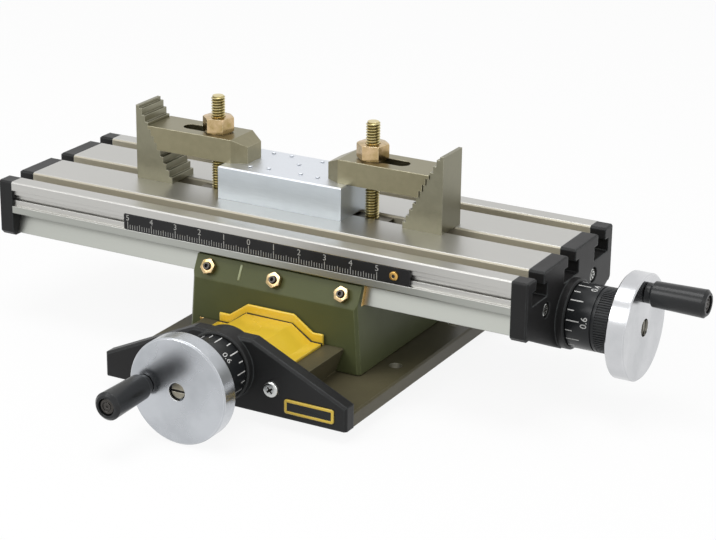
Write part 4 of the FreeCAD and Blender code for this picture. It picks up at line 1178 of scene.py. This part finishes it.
# Each light's name, place and aim, then its width, height and power.
lights = [
    ("keyLight", (-0.5, -0.85, 0.75), (0, 0, 0.02), 0.6, 0.5, 4.2),
    ("sideLight", (1.05, -0.35, 0.55), (0.02, 0, 0.02), 0.5, 0.8, 1.6),
    ("topLight", (0.0, -0.12, 0.95), (0, 0, 0.03), 0.5, 0.4, 3.4),
]
# Angles are in degrees, distances in metres, and the focal length and width in pixels.
view = {"turn": 28.8, "height": 20.3, "distance": 0.7714, "target": (0.0125, 0, 0.0275),
        "roll": 0.7, "focal": 2185.5, "width": 716, "sensor": 36}


def addShading(tree, kind, strength):
    return addNode(tree, kind, {}, {"Color": (1, 1, 1, 1), "Strength": strength}).outputs[0]


def seenRays(tree):
    # 1 for rays that the camera, a mirror or a glass sends.
    ray = addNode(tree, "ShaderNodeLightPath").outputs
    seen = calculate(tree, "MAXIMUM", ray["Is Camera Ray"], ray["Is Glossy Ray"])
    return calculate(tree, "MAXIMUM", seen, ray["Is Transmission Ray"]), ray


def blendShading(tree, factor, first, second, end):
    mix = addNode(tree, "ShaderNodeMixShader", {}, {0: factor, 1: first, 2: second})
    tree.links.new(mix.outputs[0], end.inputs["Surface"])


def makeFloorMaterial():
    material, tree, shader = startMaterial("paleFloor", 0.0, 0.9, specular=0.0)[:3]
    glow = addShading(tree, "ShaderNodeEmission", 1.0)
    seen, ray = seenRays(tree)
    tree.links.new(mixColour(tree, ray["Is Diffuse Ray"], stageSize["pale"],
                             stageSize["forBounce"]), shader.inputs["Base Color"])
    blendShading(tree, calculate(tree, "MULTIPLY", seen, stageSize["glow"]), shader.outputs[0],
                 glow, tree.nodes["Material Output"])
    return material


def makeStage():
    low, x, y = stageSize["floor"], stageSize["plinthX"], stageSize["plinthY"]
    floor = addShape(bpy.ops.mesh.primitive_plane_add, size=stageSize["reach"] * 2,
                     location=(0, 0, low))
    plinth = addCube(-x, x, -y, y, low, stageSize["plinthTop"])
    bevelEdges(plinth, lambda e: True, offset=stageSize["plinthEdge"], segments=2)
    material = makeFloorMaterial()
    for obj, name in ((floor, "floor"), (plinth, "plinth")):
        obj.name = name
        paint(obj.data, material)


def addSoftLight(name, spot, target, width, height, power):
    data = bpy.data.lights.new(name, "AREA")
    data.shape = "RECTANGLE"
    data.size = width
    data.size_y = height
    data.energy = power
    obj = linked(name, data)
    obj.location = spot
    obj.rotation_euler = (Vector(target) - Vector(spot)).to_track_quat("-Z", "Y").to_euler()


def makeStudio():
    for values in lights:
        addSoftLight(*values)
    world = bpy.data.worlds.new("studio")
    bpy.context.scene.world = world
    world.use_nodes = True
    tree = world.node_tree
    tree.nodes.clear()
    soft = addShading(tree, "ShaderNodeBackground", 0.5)
    white = addShading(tree, "ShaderNodeBackground", 1.0)
    blendShading(tree, seenRays(tree)[0], soft, white, addNode(tree, "ShaderNodeOutputWorld"))


def makeCamera():
    turn, height, roll = (math.radians(view[key]) for key in ("turn", "height", "roll"))
    back = Vector((math.sin(turn) * math.cos(height), -math.cos(turn) * math.cos(height),
                   math.sin(height)))
    right = Vector((math.cos(turn), math.sin(turn), 0))
    up = back.cross(right)
    data = bpy.data.cameras.new("camera")
    data.sensor_width = view["sensor"]
    data.lens = view["focal"] / view["width"] * view["sensor"]
    data.clip_start = 0.01
    data.clip_end = 20
    camera = linked("camera", data)
    matrix = Matrix((math.cos(roll) * right + math.sin(roll) * up,
                     math.cos(roll) * up - math.sin(roll) * right, back)).transposed().to_4x4()
    matrix.translation = Vector(view["target"]) + back * view["distance"]
    camera.matrix_world = matrix
    bpy.context.scene.camera = camera


makeStage()
makeStudio()
makeCamera()
bpy.context.scene.view_settings.view_transform = "Standard"
print("stage, lights and camera set")
